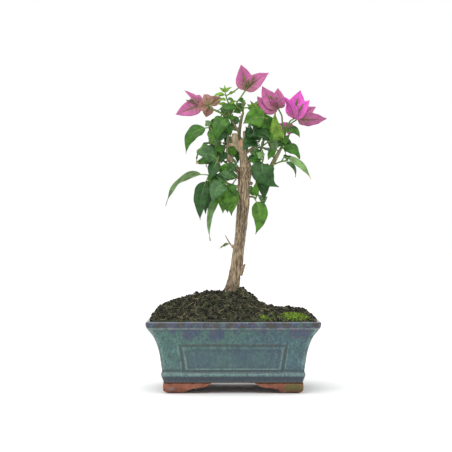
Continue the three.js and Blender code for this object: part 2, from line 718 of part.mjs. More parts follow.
function soilBody() {
  const cornerSteps = 2;
  const sideSteps = 6;
  const rings = insideProfile(GAP).map(([inset, z]) => potRing(inset, z, cornerSteps, sideSteps));
  rings.push(potRing(RIM_LEDGE + GAP, RIM_TOP + GAP, cornerSteps, sideSteps));
  rings.push(potRing(SOIL_OVER_LEDGE, RIM_TOP + GAP, cornerSteps, sideSteps));
  const edge = potRing(SOIL_OVER_LEDGE + 1, SOIL_EDGE, cornerSteps, sideSteps);
  const [seatX, seatY] = TRUNK[0];
  for (const scale of [1, 0.93, 0.82, 0.68, 0.52, 0.36, 0.22, 0.11]) {
    rings.push(
      edge.map((p) => {
        const x = THREE.MathUtils.lerp(seatX, p.x, scale);
        const y = THREE.MathUtils.lerp(seatY, p.y, scale);
        return new THREE.Vector3(x, y, scale === 1 ? p.z : moundHeight(x, y));
      }),
    );
  }
  return loft(rings);
}

// Limbs

function curveOf(path) {
  const points = path.map(([x, y, z]) => new THREE.Vector3(x, y, z));
  return new THREE.CatmullRomCurve3(points, false, "catmullrom");
}

// A tapering limb through points that each carry their own radius
function limbSolid(points, sides, stepsPerSpan, extraRadius = 0, levelFoot = false) {
  const curve = curveOf(points);
  const steps = (points.length - 1) * stepsPerSpan;
  const frames = curve.computeFrenetFrames(steps, false);
  const radiusAt = (part) => {
    const along = part * (points.length - 1);
    const i = Math.min(Math.floor(along), points.length - 2);
    return THREE.MathUtils.lerp(points[i][3], points[i + 1][3], along - i) + extraRadius;
  };
  return toSolid(
    bentCylinder(steps + 1, sides, (ring, angle, isCentre) => {
      // the cylinder's first ring is its foot
      const part = ring / steps;
      const radius = isCentre ? 0 : radiusAt(part);
      const point = curve.getPoint(part);
      const normal = frames.normals[ring];
      const binormal = frames.tangents[ring].clone().cross(normal);
      point.addScaledVector(normal, radius * Math.sin(angle));
      point.addScaledVector(binormal, -radius * Math.cos(angle));
      if (levelFoot && ring === 0) point.z = points[0][2];
      return point;
    }),
  );
}

function twigSolid(path, [footRadius, tipRadius]) {
  const points = path.map(([x, y, z], i) => [
    x,
    y,
    z,
    THREE.MathUtils.lerp(footRadius, tipRadius, i / (path.length - 1)),
  ]);
  return limbSolid(points, 4, 2);
}

// Leaves and bracts

// A blade's midline and the way its face looks
function bladeFrame(foot, { to, sag = 0, bow = 0, face = SKY, roll = 0 }) {
  const reach = new THREE.Vector3(...to);
  const length = reach.length();
  const chord = reach.clone().normalize();
  const squareTo = (way) => way.addScaledVector(chord, -way.dot(chord)).normalize();
  const up = squareTo(new THREE.Vector3(...SKY));
  const side = chord.clone().cross(up);
  const normal = squareTo(new THREE.Vector3(...face));
  normal.applyAxisAngle(chord, THREE.MathUtils.degToRad(roll));
  const midline = (s) => {
    const arch = 4 * s * (1 - s) * length;
    const point = foot.clone().addScaledVector(reach, s);
    return point.addScaledVector(up, sag * arch).addScaledVector(side, bow * arch);
  };
  return { midline, normal };
}

// A thin folded blade: a cylinder of four sides whose rings follow the blade's midline
function bladeSolid(foot, blade, outline, thickness, fold) {
  const { midline, normal } = bladeFrame(foot, blade);
  return toSolid(
    bentCylinder(outline.length, 4, (ring, angle, isCentre) => {
      const [s, part] = outline[ring];
      const point = midline(s);
      if (isCentre) return point;
      const tangent = midline(Math.min(1, s + 0.02)).sub(midline(Math.max(0, s - 0.02))).normalize();
      const facing = normal.clone().addScaledVector(tangent, -normal.dot(tangent)).normalize();
      const across = tangent.clone().cross(facing);
      const halfWidth = Math.max(PETIOLE_WIDTH * 0.3, (blade.wide * part) / 2);
      const rise = halfWidth * fold * 2 * Math.abs(Math.sin(angle));
      point.addScaledVector(across, halfWidth * Math.sin(angle));
      point.addScaledVector(facing, (thickness / 2) * Math.cos(angle) + rise);
      return point;
    }),
  );
}

function leafSolid(foot, leaf) {
  return bladeSolid(foot, leaf, LEAF_OUTLINE, LEAF_THICKNESS, LEAF_FOLD);
}

function ruleLeafSolid(foot, leaf) {
  return bladeSolid(foot, leaf, RULE_LEAF_OUTLINE, LEAF_THICKNESS, LEAF_FOLD);
}

function bractSolid(foot, bract) {
  return bladeSolid(foot, bract, BRACT_OUTLINE, BRACT_THICKNESS, BRACT_FOLD);
}

function tubeSolid(foot, [x, y, z]) {
  const tip = foot.clone().add(new THREE.Vector3(x, y, z));
  const middle = foot.clone().lerp(tip, 0.5);
  const points = [
    [foot.x, foot.y, foot.z, TUBE_RADIUS * 0.6],
    [middle.x, middle.y, middle.z, TUBE_RADIUS * 0.8],
    [tip.x, tip.y, tip.z, TUBE_RADIUS],
  ];
  return limbSolid(points, 4, 1);
}

// The rule

function insideSpace({ centre, radii }, point) {
  const [x, y, z] = ["x", "y", "z"].map((axis, i) => (point[axis] - centre[i]) / radii[i]);
  return x * x + y * y + z * z < 1;
}

// Balls along every limb, to keep twigs and leaves off them
function limbBalls() {
  const balls = [];
  for (const points of [TRUNK, ...Object.values(LIMBS)]) {
    const curve = curveOf(points);
    const steps = (points.length - 1) * 4;
    for (let i = 0; i <= steps; i++) {
      const along = (i / steps) * (points.length - 1);
      const k = Math.min(Math.floor(along), points.length - 2);
      const radius = THREE.MathUtils.lerp(points[k][3], points[k + 1][3], along - k);
      balls.push({ at: curve.getPoint(i / steps), radius: radius + LIMB_CLEARANCE });
    }
  }
  return balls;
}

const BALLS = limbBalls();

function touchesLimb(point) {
  return BALLS.some((ball) => ball.at.distanceTo(point) < ball.radius);
}

// Points over a leaf, in rows across it
function leafPoints(foot, leaf) {
  const { midline, normal } = bladeFrame(foot, leaf);
  const across = new THREE.Vector3(...leaf.to).normalize().cross(normal);
  return TEST_ALONG.flatMap((s) => {
    const half = (leaf.wide / 2) * Math.sin(Math.PI * s ** 0.8);
    return TEST_ACROSS.map((part) => midline(s).addScaledVector(across, half * part));
  });
}

// Side twigs leave the stem at even steps, each turned by the golden angle from the last, and
// their leaves turn by it too. What would leave the space, touch a limb or crowd a leaf is skipped.
function growByRule(mass, taken) {
  const random = seededRandom(mass.seed);
  const stem = curveOf(mass.stem.path);
  const grown = { twigs: [], leaves: [] };
  const isFree = (point) => {
    const isClear = !touchesLimb(point) && taken.every((other) => other.distanceTo(point) > SPACING);
    return isClear && insideSpace(mass.space, point);
  };
  for (let i = 0; i < mass.twigs; i++) {
    const foot = stem.getPoint((i + 0.9) / mass.twigs);
    const heading = THREE.MathUtils.degToRad(mass.heading) + i * GOLDEN_ANGLE + 0.5 * (random() - 0.5);
    const rise = 0.15 + 0.5 * random();
    const length = mass.space.radii[1] * (0.45 + 0.3 * random());
    const out = new THREE.Vector3(Math.cos(heading), Math.sin(heading), rise).normalize();
    const middle = foot.clone().addScaledVector(out, length * 0.5);
    const tip = foot.clone().addScaledVector(out, length).add(new THREE.Vector3(0, 0, -length * 0.15));
    const path = [foot, middle, tip].map((p) => [p.x, p.y, p.z]);
    const twig = curveOf(path);
    if (![0.3, 0.5, 0.7, 0.85, 1].every((part) => isFree(twig.getPoint(part)))) continue;
    grown.twigs.push({ path, r: [0.9, 0.6] });
    for (let k = 0; k < RULE_LEAVES_A_TWIG; k++) {
      const root = twig.getPoint(0.3 + (0.7 * k) / (RULE_LEAVES_A_TWIG - 1));
      const turn = heading + k * GOLDEN_ANGLE + 0.6 * (random() - 0.5);
      const size = 0.75 + 0.45 * random();
      const fall = 0.3 + 0.9 * random();
      const reach = new THREE.Vector3(Math.cos(turn), Math.sin(turn), -fall).normalize();
      reach.multiplyScalar(RULE_LEAF_LENGTH * size);
      const leaf = {
        to: [reach.x, reach.y, reach.z],
        wide: RULE_LEAF_WIDTH * size,
        sag: 0.14 + 0.14 * random(),
        roll: 50 * (random() - 0.5),
      };
      const points = leafPoints(root, leaf);
      if (!points.every(isFree)) continue;
      grown.leaves.push({ foot: root, leaf });
      taken.push(...points);
    }
    for (let part = 0; part <= 1; part += 0.1) taken.push(twig.getPoint(part));
  }
  return grown;
}

// Everything that one mass holds, placed first and then by the rule
function massOrgans(mass, taken) {
  const stem = curveOf(mass.stem.path);
  const organs = [twigSolid(mass.stem.path, mass.stem.r)];
  const twigs = (mass.twigs_placed ?? []).map(({ at, path, r }) => {
    const foot = stem.getPoint(at);
    const whole = [[foot.x, foot.y, foot.z], ...path];
    organs.push(twigSolid(whole, r));
    return curveOf(whole);
  });
  for (const leaf of mass.leaves) {
    const foot = (leaf.twig === undefined ? stem : twigs[leaf.twig]).getPoint(leaf.at);
    organs.push(leafSolid(foot, leaf));
  }
  for (const flower of mass.flowers ?? []) {
    const foot = twigs[flower.twig].getPoint(1);
    for (const bract of flower.bracts) organs.push(bractSolid(foot, bract));
    for (const tube of flower.tubes) organs.push(tubeSolid(foot, tube));
  }
  const grown = growByRule(mass, taken);
  for (const { path, r } of grown.twigs) organs.push(twigSolid(path, r));
  for (const { foot, leaf } of grown.leaves) organs.push(ruleLeafSolid(foot, leaf));
  return organs;
}

// Points of all that is placed, so that the rule keeps clear of it in every mass
function placedPoints() {
  const points = [];
  for (const mass of MASSES) {
    const stem = curveOf(mass.stem.path);
    const twigs = (mass.twigs_placed ?? []).map(({ at, path }) => {
      const foot = stem.getPoint(at);
      return curveOf([[foot.x, foot.y, foot.z], ...path]);
    });
    for (const twig of [stem, ...twigs]) points.push(...twig.getPoints(twig.points.length * 4));
    for (const leaf of mass.leaves) {
      const foot = (leaf.twig === undefined ? stem : twigs[leaf.twig]).getPoint(leaf.at);
      points.push(...leafPoints(foot, leaf));
    }
    for (const flower of mass.flowers ?? []) {
      const foot = twigs[flower.twig].getPoint(1);
      for (const bract of flower.bracts) points.push(...leafPoints(foot, bract));
    }
  }
  return points;
}

function fuse(solids) {
  return solids.reduce((whole, solid) => whole.add(solid));
}

// Assembly

const nodes = [toMesh("pot_body", potBody(), FINISH.glaze)];
for (const [front, sideY] of [["front", -1], ["back", 1]]) {
  for (const [side, sideX] of [["left", -1], ["right", 1]]) {
    nodes.push(toMesh(`pot_foot_${front}_${side}`, foot(sideX, sideY), FINISH.clay));
  }
}
nodes.push(toMesh("soil", soilBody(), FINISH.soil));

const trunk = limbSolid(TRUNK, 12, 1, 0, true);
const trunkCutter = limbSolid(TRUNK, 12, 1, GAP);
nodes.push(toMesh("trunk", trunk, FINISH.bark));

// Each limb is cut back from the trunk and from the limbs made before it
const limbs = [];
const cutters = [trunkCutter];
for (const [name, points] of Object.entries(LIMBS)) {
  const cut = cutters.reduce((solid, cutter) => solid.subtract(cutter), limbSolid(points, 8, 2));
  limbs.push({ name, solid: largestBody(cut) });
  cutters.push(limbSolid(points, 8, 2, GAP));
}
for (const { name, solid } of limbs) nodes.push(toMesh(name, solid, FINISH.bark));

const taken = placedPoints();
for (const mass of MASSES) {
  nodes.push(toMesh(mass.name, fuse(massOrgans(mass, taken)), FINISH.leaf));
}

const spurPath = curveOf(SPUR.path);
const spur = twigSolid(SPUR.path, SPUR.r).add(leafSolid(spurPath.getPoint(SPUR.leaf.at), SPUR.leaf));
nodes.push(toMesh("spur_dry_twig", spur, FINISH.bark));

// The origin is at the middle of the whole plant's box, on the ground
const group = new THREE.Group();
const plant = new THREE.Group();
nodes.forEach((mesh) => plant.add(mesh));
const box = new THREE.Box3().setFromObject(plant);
const middle = box.getCenter(new THREE.Vector3());
plant.position.set(-middle.x, -middle.y, 0);
group.add(plant);

export default group;
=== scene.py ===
# %% [markdown]
# A bougainvillea bonsai: a slender trunk with twisted limbs, hanging leaves and magenta bracts,
# in a rectangular pot with a running blue-green glaze. The CAD model holds its true sizes and its
# main forms. Here each form is dressed with the relief and finish that the real one shows.
# Everything is worked out in millimetres from the middle of the pot, because that is how a grower
# would measure it, and each finished piece is moved into the model's frame at the end.

import math

import bmesh
import bpy
import numpy as np
from mathutils import Matrix, Vector, noise


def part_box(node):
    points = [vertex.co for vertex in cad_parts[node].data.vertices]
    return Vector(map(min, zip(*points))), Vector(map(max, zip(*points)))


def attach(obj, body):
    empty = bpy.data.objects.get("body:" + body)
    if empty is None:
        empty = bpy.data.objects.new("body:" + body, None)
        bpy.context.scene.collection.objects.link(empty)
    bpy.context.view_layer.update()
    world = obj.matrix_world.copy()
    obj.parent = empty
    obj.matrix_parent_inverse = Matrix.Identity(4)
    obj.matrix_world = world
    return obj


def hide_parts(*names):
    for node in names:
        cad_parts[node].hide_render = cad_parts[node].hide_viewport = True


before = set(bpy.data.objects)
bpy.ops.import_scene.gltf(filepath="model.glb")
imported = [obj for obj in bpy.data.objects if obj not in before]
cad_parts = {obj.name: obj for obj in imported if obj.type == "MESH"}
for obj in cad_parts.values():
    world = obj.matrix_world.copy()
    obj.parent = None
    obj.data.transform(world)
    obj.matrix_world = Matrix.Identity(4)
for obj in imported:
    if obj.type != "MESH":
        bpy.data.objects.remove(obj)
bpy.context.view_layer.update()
scene = bpy.context.scene
pot_low, pot_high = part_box("pot_body")
POT_MIDDLE = (pot_low.x + pot_high.x) / 2
MM = 0.001
TO_FRAME = Matrix.Translation((POT_MIDDLE, 0, 0)) @ Matrix.Scale(MM, 4)
print("pot", [round(side / MM, 1) for side in pot_high - pot_low], "mm")

# %% [markdown]
# The photograph is taken level with the plant from about a metre and a half, under light that
# comes from all round. A long lens at that distance keeps the upright lines parallel. A white
# world gives the even light, and one wide soft sun above makes the tops lighter than the sides.

# %% Camera, floor and light
LENS = 111.8
EYE = (-12.38, -1500, 173.6)
FARTHEST = 50
SUN_STRENGTH, SUN_WIDTH, SUN_TILT = 1.9, 70, (24, -14, 0)
FLOOR_HALF = 8

camera_data = bpy.data.cameras.new("camera")
camera_data.lens = LENS
camera_data.clip_end = FARTHEST
camera = bpy.data.objects.new("camera", camera_data)
camera.location = [side * MM for side in EYE]
camera.rotation_euler = (math.pi / 2, 0, 0)
scene.collection.objects.link(camera)
scene.camera = camera
scene.view_settings.view_transform = "Standard"

world = bpy.data.worlds.new("studio")
scene.world = world
world.use_nodes = True
world.node_tree.nodes["Background"].inputs["Color"].default_value = (1, 1, 1, 1)
world.node_tree.nodes["Background"].inputs["Strength"].default_value = 1.0

sky_data = bpy.data.lights.new("soft_sky", "SUN")
sky_data.energy = SUN_STRENGTH
sky_data.angle = math.radians(SUN_WIDTH)
sky = bpy.data.objects.new("soft_sky", sky_data)
sky.rotation_euler = [math.radians(turn) for turn in SUN_TILT]
scene.collection.objects.link(sky)

floor_bm = bmesh.new()
bmesh.ops.create_grid(floor_bm, x_segments=1, y_segments=1, size=FLOOR_HALF)
floor_mesh = bpy.data.meshes.new("floor")
floor_bm.to_mesh(floor_mesh)
floor_bm.free()
floor = bpy.data.objects.new("floor", floor_mesh)
scene.collection.objects.link(floor)

# %% [markdown]
# A finish is a small sum of patterns. To write such sums as plain expressions, one class wraps a
# socket and turns + - * into Math nodes, and a Finish hands out every other node.

# %% Shader expressions
class Field:
    """One socket of a finish. Arithmetic on fields adds the Math nodes."""

    def __init__(self, finish, socket):
        self.finish, self.socket = finish, socket

    def math(self, operation, first, second):
        return self.finish.node("ShaderNodeMath", {"operation": operation}, {0: first, 1: second})

    def __add__(self, other):
        return self.math("ADD", self, other)

    def __sub__(self, other):
        return self.math("SUBTRACT", self, other)

    def __rsub__(self, other):
        return self.math("SUBTRACT", other, self)

    def __mul__(self, other):
        return self.math("MULTIPLY", self, other)

    __radd__ = __add__
    __rmul__ = __mul__


class Finish:
    """A material with its shader, and the nodes that its pattern needs."""

    def __init__(self, name, roughness=0.5, **constants):
        self.material = bpy.data.materials.new(name)
        self.material.use_nodes = True
        self.tree = self.material.node_tree
        self.shader = self.tree.nodes["Principled BSDF"]
        self.set(Roughness=roughness, **constants)

    def set(self, **sockets):
        for name, value in sockets.items():
            self.plug(self.shader.inputs[name.replace("_", " ")], value)

    def plug(self, socket, value):
        if isinstance(value, Field):
            self.tree.links.new(value.socket, socket)
        else:
            socket.default_value = value

    def node(self, kind, settings, sockets, output=0):
        made = self.tree.nodes.new(kind)
        for name, value in settings.items():
            setattr(made, name, value)
        for name, value in sockets.items():
            self.plug(made.inputs[name], value)
        return Field(self, made.outputs[output])

    def place(self, stretch=(1, 1, 1)):
        """Object coordinates in millimetres, scaled on each axis."""
        there = self.node("ShaderNodeTexCoord", {}, {}, "Object")
        scale = [part / MM for part in stretch]
        return self.node("ShaderNodeMapping", {}, {"Vector": there, "Scale": scale})

    def noise(self, size, stretch=(1, 1, 1), detail=3.0, roughness=0.55):
        """Soft noise with blotches of the given size in millimetres."""
        where = self.place(stretch)
        sockets = {"Vector": where, "Scale": 1 / size, "Detail": detail, "Roughness": roughness}
        return self.node("ShaderNodeTexNoise", {}, sockets, 0)

    def spots(self, size, stretch=(1, 1, 1)):
        """Distance to the nearest of many scattered points, in cells of the given size."""
        where = self.place(stretch)
        return self.node("ShaderNodeTexVoronoi", {}, {"Vector": where, "Scale": 1 / size}, "Distance")

    def axis(self, name):
        """One object coordinate in millimetres."""
        there = self.node("ShaderNodeTexCoord", {}, {}, "Object")
        return self.node("ShaderNodeSeparateXYZ", {}, {0: there}, name) * (1 / MM)

    def along_blade(self):
        """The leaf's own map: across it from edge to edge, and along it from stalk to tip."""
        there = self.node("ShaderNodeUVMap", {"uv_map": "blade"}, {})
        across = self.node("ShaderNodeSeparateXYZ", {}, {0: there}, "X")
        along = self.node("ShaderNodeSeparateXYZ", {}, {0: there}, "Y")
        return across, along

    def painted(self, name):
        """A value that was painted on the piece's points."""
        return self.node("ShaderNodeAttribute", {"attribute_name": name}, {}, "Fac")

    def step(self, value, low, high):
        """0 below low and 1 above high, with a soft step between."""
        settings = {"interpolation_type": "SMOOTHSTEP"}
        sockets = {"Value": value, "From Min": low, "From Max": high}
        return self.node("ShaderNodeMapRange", settings, sockets)

    def band(self, value, low, full, ease, high):
        """1 between full and ease, and 0 below low and above high."""
        return self.step(value, low, full) * (1 - self.step(value, ease, high))

    def sine(self, value):
        return self.node("ShaderNodeMath", {"operation": "SINE"}, {0: value})

    def distance(self, value):
        """How far a value is from zero."""
        return self.node("ShaderNodeMath", {"operation": "ABSOLUTE"}, {0: value})

    def mix(self, share, first, second):
        """The first colour, with the second over it by a share."""
        settings = {"data_type": "RGBA"}
        return self.node("ShaderNodeMix", settings, {0: share, 6: first, 7: second}, 2)

    def bump(self, height, depth, strength=1.0):
        """A surface that rises by the height field times the depth in millimetres."""
        sockets = {"Height": height, "Distance": depth * MM, "Strength": strength}
        return self.node("ShaderNodeBump", {}, sockets)


def colour(red, green, blue):
    """A colour as a screen gives it, 0 to 255, turned into the light it stands for."""
    light = []
    for part in (red, green, blue):
        part /= 255
        light.append(part / 12.92 if part < 0.04045 else ((part + 0.055) / 1.055) ** 2.4)
    return (*light, 1)


floor_finish = Finish("floor_pale", 0.9)
floor_finish.set(Base_Color=colour(240, 240, 240))
floor_mesh.materials.append(floor_finish.material)
print("floor and light ready")

# %% [markdown]
# Pot walls, bark, twigs and stalks are all a flat grid bent round and sewn up: the grid's width
# goes round the form and its height goes along it. One operator makes the grid, one closes the
# seam and the poles, and only the rule that places a point changes from piece to piece.

# %% Bending a grid
MERGE = 1e-4


def bend_grid(bm, columns, rows, place, map_name=None, closed=True):
    """A grid whose points are moved to place(across, along), each from 0 to 1."""
    made = bmesh.ops.create_grid(bm, x_segments=columns, y_segments=rows, size=0.5)
    verts = made["verts"]
    flat = np.array([vert.co[:2] for vert in verts]) + 0.5
    faces = {face for vert in verts for face in vert.link_faces}
    if map_name:
        layer = bm.loops.layers.uv.get(map_name) or bm.loops.layers.uv.new(map_name)
        for face in faces:
            for loop in face.loops:
                loop[layer].uv = (loop.vert.co.x + 0.5, loop.vert.co.y + 0.5)
    for vert, point in zip(verts, place(flat[:, 0], flat[:, 1])):
        vert.co = point
    for face in faces:
        face.smooth = True
    if closed:
        bmesh.ops.remove_doubles(bm, verts=verts, dist=MERGE)


def make_piece(name, bm, finishes, nodes=()):
    """The finished mesh as an object that rides on the plant and stands for CAD nodes."""
    bm.transform(TO_FRAME)
    mesh = bpy.data.meshes.new(name)
    bm.to_mesh(mesh)
    bm.free()
    for finish in finishes:
        mesh.materials.append(finish.material)
    piece = bpy.data.objects.new(name, mesh)
    scene.collection.objects.link(piece)
    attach(piece, "root")
    if nodes:
        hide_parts(*nodes)
    print(name, len(mesh.polygons), "faces")
    return piece


def soft_step(value, low, high):
    """0 below low and 1 above high, with a soft step between."""
    part = np.clip((value - low) / (high - low), 0, 1)
    return part * part * (3 - 2 * part)


def rough(points, size):
    """Noise from -1 to 1 at each point, with bumps of the given size."""
    return np.array([noise.noise(Vector(point) / size) for point in points])


# %% [markdown]
# The pot is pressed clay: a wide rim that overhangs, walls that lean in, a framed panel on each
# wall and a moulded base. Its section is a short list of how far the wall stands in at each
# height. A grid bent round the pot follows that section, and the panel is pushed in on the way,
# so that the corners of the frame stay as soft as thick glaze leaves them.

# %% The pot's section
WIDTH, DEPTH, CORNER = 181, 131, 6
RIM_TOP, FLOOR_BELOW, FLOOR_ABOVE = 75.5, 11, 17
BASE_INSET, FLOOR_INSET = 17.8, 23.8
OUTSIDE = [
    (BASE_INSET, FLOOR_BELOW), (17.6, 12.4), (16.8, 15), (15.8, 17.4), (15.3, 19.2), (15.3, 20.6),
    (16, 22.4), (16.3, 24), (15.3, 31), (13.7, 42), (10.9, 52), (8, 59), (5.6, 62.4), (2.9, 66),
    (1.1, 68.6), (0.4, 70.4), (0, 72), (0, 73.8), (0.7, 75), (1.8, RIM_TOP),
]
INSIDE = [
    (3.6, RIM_TOP), (6.4, 75.2), (7.4, 74), (8, 70), (13.8, 59.2), (18.6, 42), (22, 23),
    (FLOOR_INSET, FLOOR_ABOVE),
]
PANEL_TOP, PANEL_BOTTOM, PANEL_TAPER = 51, 23.8, 4
FRONT_PANEL, SIDE_PANEL = 56, 35
ROW_STEP, INNER_STEP, COLUMN_STEP = 0.72, 4, 0.9
CURVE_POINTS, CORNER_STEPS = 400, 10


def spline(before, first, second, after, t):
    """A place between first and second on the smooth curve through four points."""
    start, end = (second - before) / 2, (after - first) / 2
    square = (3 * (second - first) - 2 * start - end) * t**2
    return first + start * t + square + (2 * (first - second) + start + end) * t**3


def curve_through(points, count):
    """Points at even steps on the smooth curve through the given ones."""
    points = np.array(points, float)
    ends = [2 * points[0] - points[1], *points, 2 * points[-1] - points[-2]]
    padded = np.array(ends)
    along = np.linspace(0, len(points) - 1, count)
    i = np.minimum(along.astype(int), len(points) - 2)
    t = (along - i)[:, None]
    return spline(padded[i], padded[i + 1], padded[i + 2], padded[i + 3], t)


def even_section(points, step):
    """The section's points at even steps along it."""
    points = np.array(points, float)
    along = np.concatenate([[0], np.cumsum(np.linalg.norm(np.diff(points, axis=0), axis=1))])
    marks = np.linspace(0, along[-1], int(along[-1] / step))
    return np.column_stack([np.interp(marks, along, side) for side in points.T])


outer = np.maximum(even_section(curve_through(OUTSIDE, CURVE_POINTS), ROW_STEP), 0)
inner = even_section(INSIDE, INNER_STEP)
# On the two floors a row's inset is a share of the way in, below 0, to the pot's middle at -1
underside = np.array([(share, FLOOR_BELOW) for share in (-1, -0.75, -0.5, -0.25, -0.1)])
inside_floor = np.array([(share, FLOOR_ABOVE) for share in (-0.1, -0.5, -1)])
section = np.vstack([underside, outer, inner, inside_floor])
print("pot section", len(section), "rows")


def rim_columns():
    """Each column of the wall: which corner it is nearest, its turn, and its share along a side."""
    sides = [(1, -1, -90), (1, 1, 0), (-1, 1, 90), (-1, -1, 180)]
    lengths = [DEPTH, WIDTH, DEPTH, WIDTH]
    columns = []
    for (x, y, turn), length in zip(sides, lengths):
        for step in range(CORNER_STEPS):
            columns.append((x, y, math.radians(turn + 90 // CORNER_STEPS * step), 0, 0, 0))
        following = sides[(sides.index((x, y, turn)) + 1) % 4]
        steps = int(length / COLUMN_STEP)
        for step in range(steps):
            columns.append((x, y, math.radians(turn + 90), step / steps, following[0], following[1]))
    columns.append(columns[0])
    return np.array(columns)


columns = rim_columns()
print("pot wall", len(columns), "columns")

# %% The framed panel and the drips
GROOVE_DEPTH, BEAD_RISE, FIELD_DEPTH = 0.9, 0.2, 0.85


def panel_depth(across, height, half_length):
    """How far the wall is pushed in: a groove, a bead and a sunk field inside it."""
    taper = PANEL_TAPER * (PANEL_TOP - height) / (PANEL_TOP - PANEL_BOTTOM)
    from_side = half_length - taper - np.abs(across)
    from_top, from_foot = PANEL_TOP - height, height - PANEL_BOTTOM
    inside = np.minimum(from_side, np.minimum(from_top, from_foot + 2.2))
    groove = GROOVE_DEPTH * soft_step(inside, -1.1, 0.9) * (1 - soft_step(inside, 1, 4))
    bead = -BEAD_RISE * soft_step(inside, 1.6, 3.2) * (1 - soft_step(inside, 4, 7))
    field = soft_step(from_side, 4, 8.4) * soft_step(from_top, 2.6, 8) * soft_step(from_foot, 0.8, 3.6)
    return groove + bead + FIELD_DEPTH * field


# Runs of darker glaze below the rim: which wall, place along it, width, lowest point
DRIPS = [
    ("front", -62, 2.5, 63), ("front", -46, 5.5, 57), ("front", -37, 4.5, 58.5), ("front", -20, 4.5, 54.5),
    ("front", -13, 4, 56), ("front", 2, 1.8, 62), ("front", 32, 2, 63), ("front", 62, 4.5, 59),
    ("front", 72, 6, 58), ("left", -30, 4, 56), ("left", 8, 3, 60), ("left", 34, 5, 55),
    ("right", -38, 4, 53), ("right", -6, 3, 57), ("right", 26, 5, 54), ("back", -60, 4, 54),
    ("back", -22, 5, 52), ("back", 10, 3, 58), ("back", 41, 4, 53), ("back", 70, 3, 57),
]
DRIP_START, RIM_FOOT = 66, (67, 69)
WALLS = {"front": (0, -1), "right": (1, 0), "back": (0, 1), "left": (-1, 0)}


def drip_amount(points, facing):
    """How much of a run of glaze lies at each point, with a ragged edge and none on the rim."""
    amount = np.zeros(len(points))
    facing = facing / np.maximum(np.linalg.norm(facing, axis=1), 1e-6)[:, None]
    ragged = 0.45 * rough(points, 5)
    for wall, at, wide, low in DRIPS:
        way = WALLS[wall]
        on_wall = soft_step(facing @ np.array(way), 0.6, 0.9)
        across = points[:, 0] if way[0] == 0 else points[:, 1]
        down = np.maximum(DRIP_START - points[:, 2], 0) / (DRIP_START - low)
        part = 1 - soft_step(np.hypot((across - at) / wide, down) + ragged, 0.2, 1.6)
        amount = np.maximum(amount, on_wall * part * (1 - soft_step(points[:, 2], *RIM_FOOT)))
    return amount


# %% [markdown]
# The grid closes at the foot and inside in two flat floors. A bonsai pot drains through holes, so
# each floor is filled anew round two circles, and the circles are bridged through the clay. A last
# light wobble along the normals makes the walls as uneven as pressed clay under thick glaze.

# %% Bending the pot
CORNER_EASE, LEAST_CORNER = 0.1, 3
PANEL_ROWS_FROM = 15


def pot_points(across, along):
    """The pot's surface, row by row, with the panels pushed in."""
    column = columns[np.rint(across * (len(columns) - 1)).astype(int)]
    inset, height = section[np.rint(along * (len(section) - 1)).astype(int)].T
    flat = inset < 0
    share = np.where(flat, 1 + inset, 1)
    inset = np.where(flat, np.where(height < FLOOR_ABOVE, BASE_INSET, FLOOR_INSET), inset)
    radius = np.maximum(CORNER - inset * CORNER_EASE, LEAST_CORNER)
    half_x, half_y = WIDTH / 2 - inset - radius, DEPTH / 2 - inset - radius
    x, y, turn, part, next_x, next_y = column.T
    facing = np.column_stack([np.cos(turn), np.sin(turn)])
    here = np.column_stack([x * half_x, y * half_y]) + radius[:, None] * facing
    there = np.column_stack([next_x * half_x, next_y * half_y]) + radius[:, None] * facing
    side = np.where((part > 0)[:, None], here + (there - here) * part[:, None], here)
    is_outside = along < (len(underside) + len(outer)) / len(section)
    on_front = np.abs(facing[:, 1]) > 0.99
    on_side = np.abs(facing[:, 0]) > 0.99
    depth = np.where(on_front, panel_depth(side[:, 0], height, FRONT_PANEL), 0)
    depth = np.where(on_side, panel_depth(side[:, 1], height, SIDE_PANEL), depth)
    depth = np.where(is_outside & (height > PANEL_ROWS_FROM), depth, 0)
    side = side - facing * depth[:, None]
    return np.column_stack([side * share[:, None], height])


DRAIN_RADIUS, DRAIN_SPACING, DRAIN_SIDES = 6, 70, 32
# Half the length and the depth of the patch of floor that is filled anew, below and above
PATCH_BELOW, PATCH_ABOVE = (66, 43.4), (60.6, 38)
LEVEL = 1e-3


def cut_drains(bm, height, half_x, half_y):
    """Fills the floor at one height anew round two drain holes, and gives the holes' rims."""
    patch = []
    for face in bm.faces:
        flat = all(abs(vert.co.z - height) < LEVEL for vert in face.verts)
        if flat and all(abs(vert.co.x) < half_x and abs(vert.co.y) < half_y for vert in face.verts):
            patch.append(face)
    bmesh.ops.delete(bm, geom=patch, context="FACES")
    open_edges = [edge for edge in bm.edges if edge.is_boundary]
    around = [edge for edge in open_edges if abs(edge.verts[0].co.z - height) < LEVEL]
    rims = []
    for side in (-1, 1):
        at = Matrix.Translation((side * DRAIN_SPACING / 2, 0, height))
        ring = bmesh.ops.create_circle(bm, segments=DRAIN_SIDES, radius=DRAIN_RADIUS, matrix=at)["verts"]
        rims.append(list(dict.fromkeys(edge for vert in ring for edge in vert.link_edges)))
    bmesh.ops.triangle_fill(bm, edges=around + rims[0] + rims[1], use_beauty=True)
    return rims


pot_bm = bmesh.new()
bend_grid(pot_bm, len(columns) - 1, len(section) - 1, pot_points)
rims_below = cut_drains(pot_bm, FLOOR_BELOW, *PATCH_BELOW)
rims_above = cut_drains(pot_bm, FLOOR_ABOVE, *PATCH_ABOVE)
for rim_below, rim_above in zip(rims_below, rims_above):
    bmesh.ops.bridge_loops(pot_bm, edges=rim_below + rim_above)
bmesh.ops.recalc_face_normals(pot_bm, faces=pot_bm.faces)
pot_bm.normal_update()

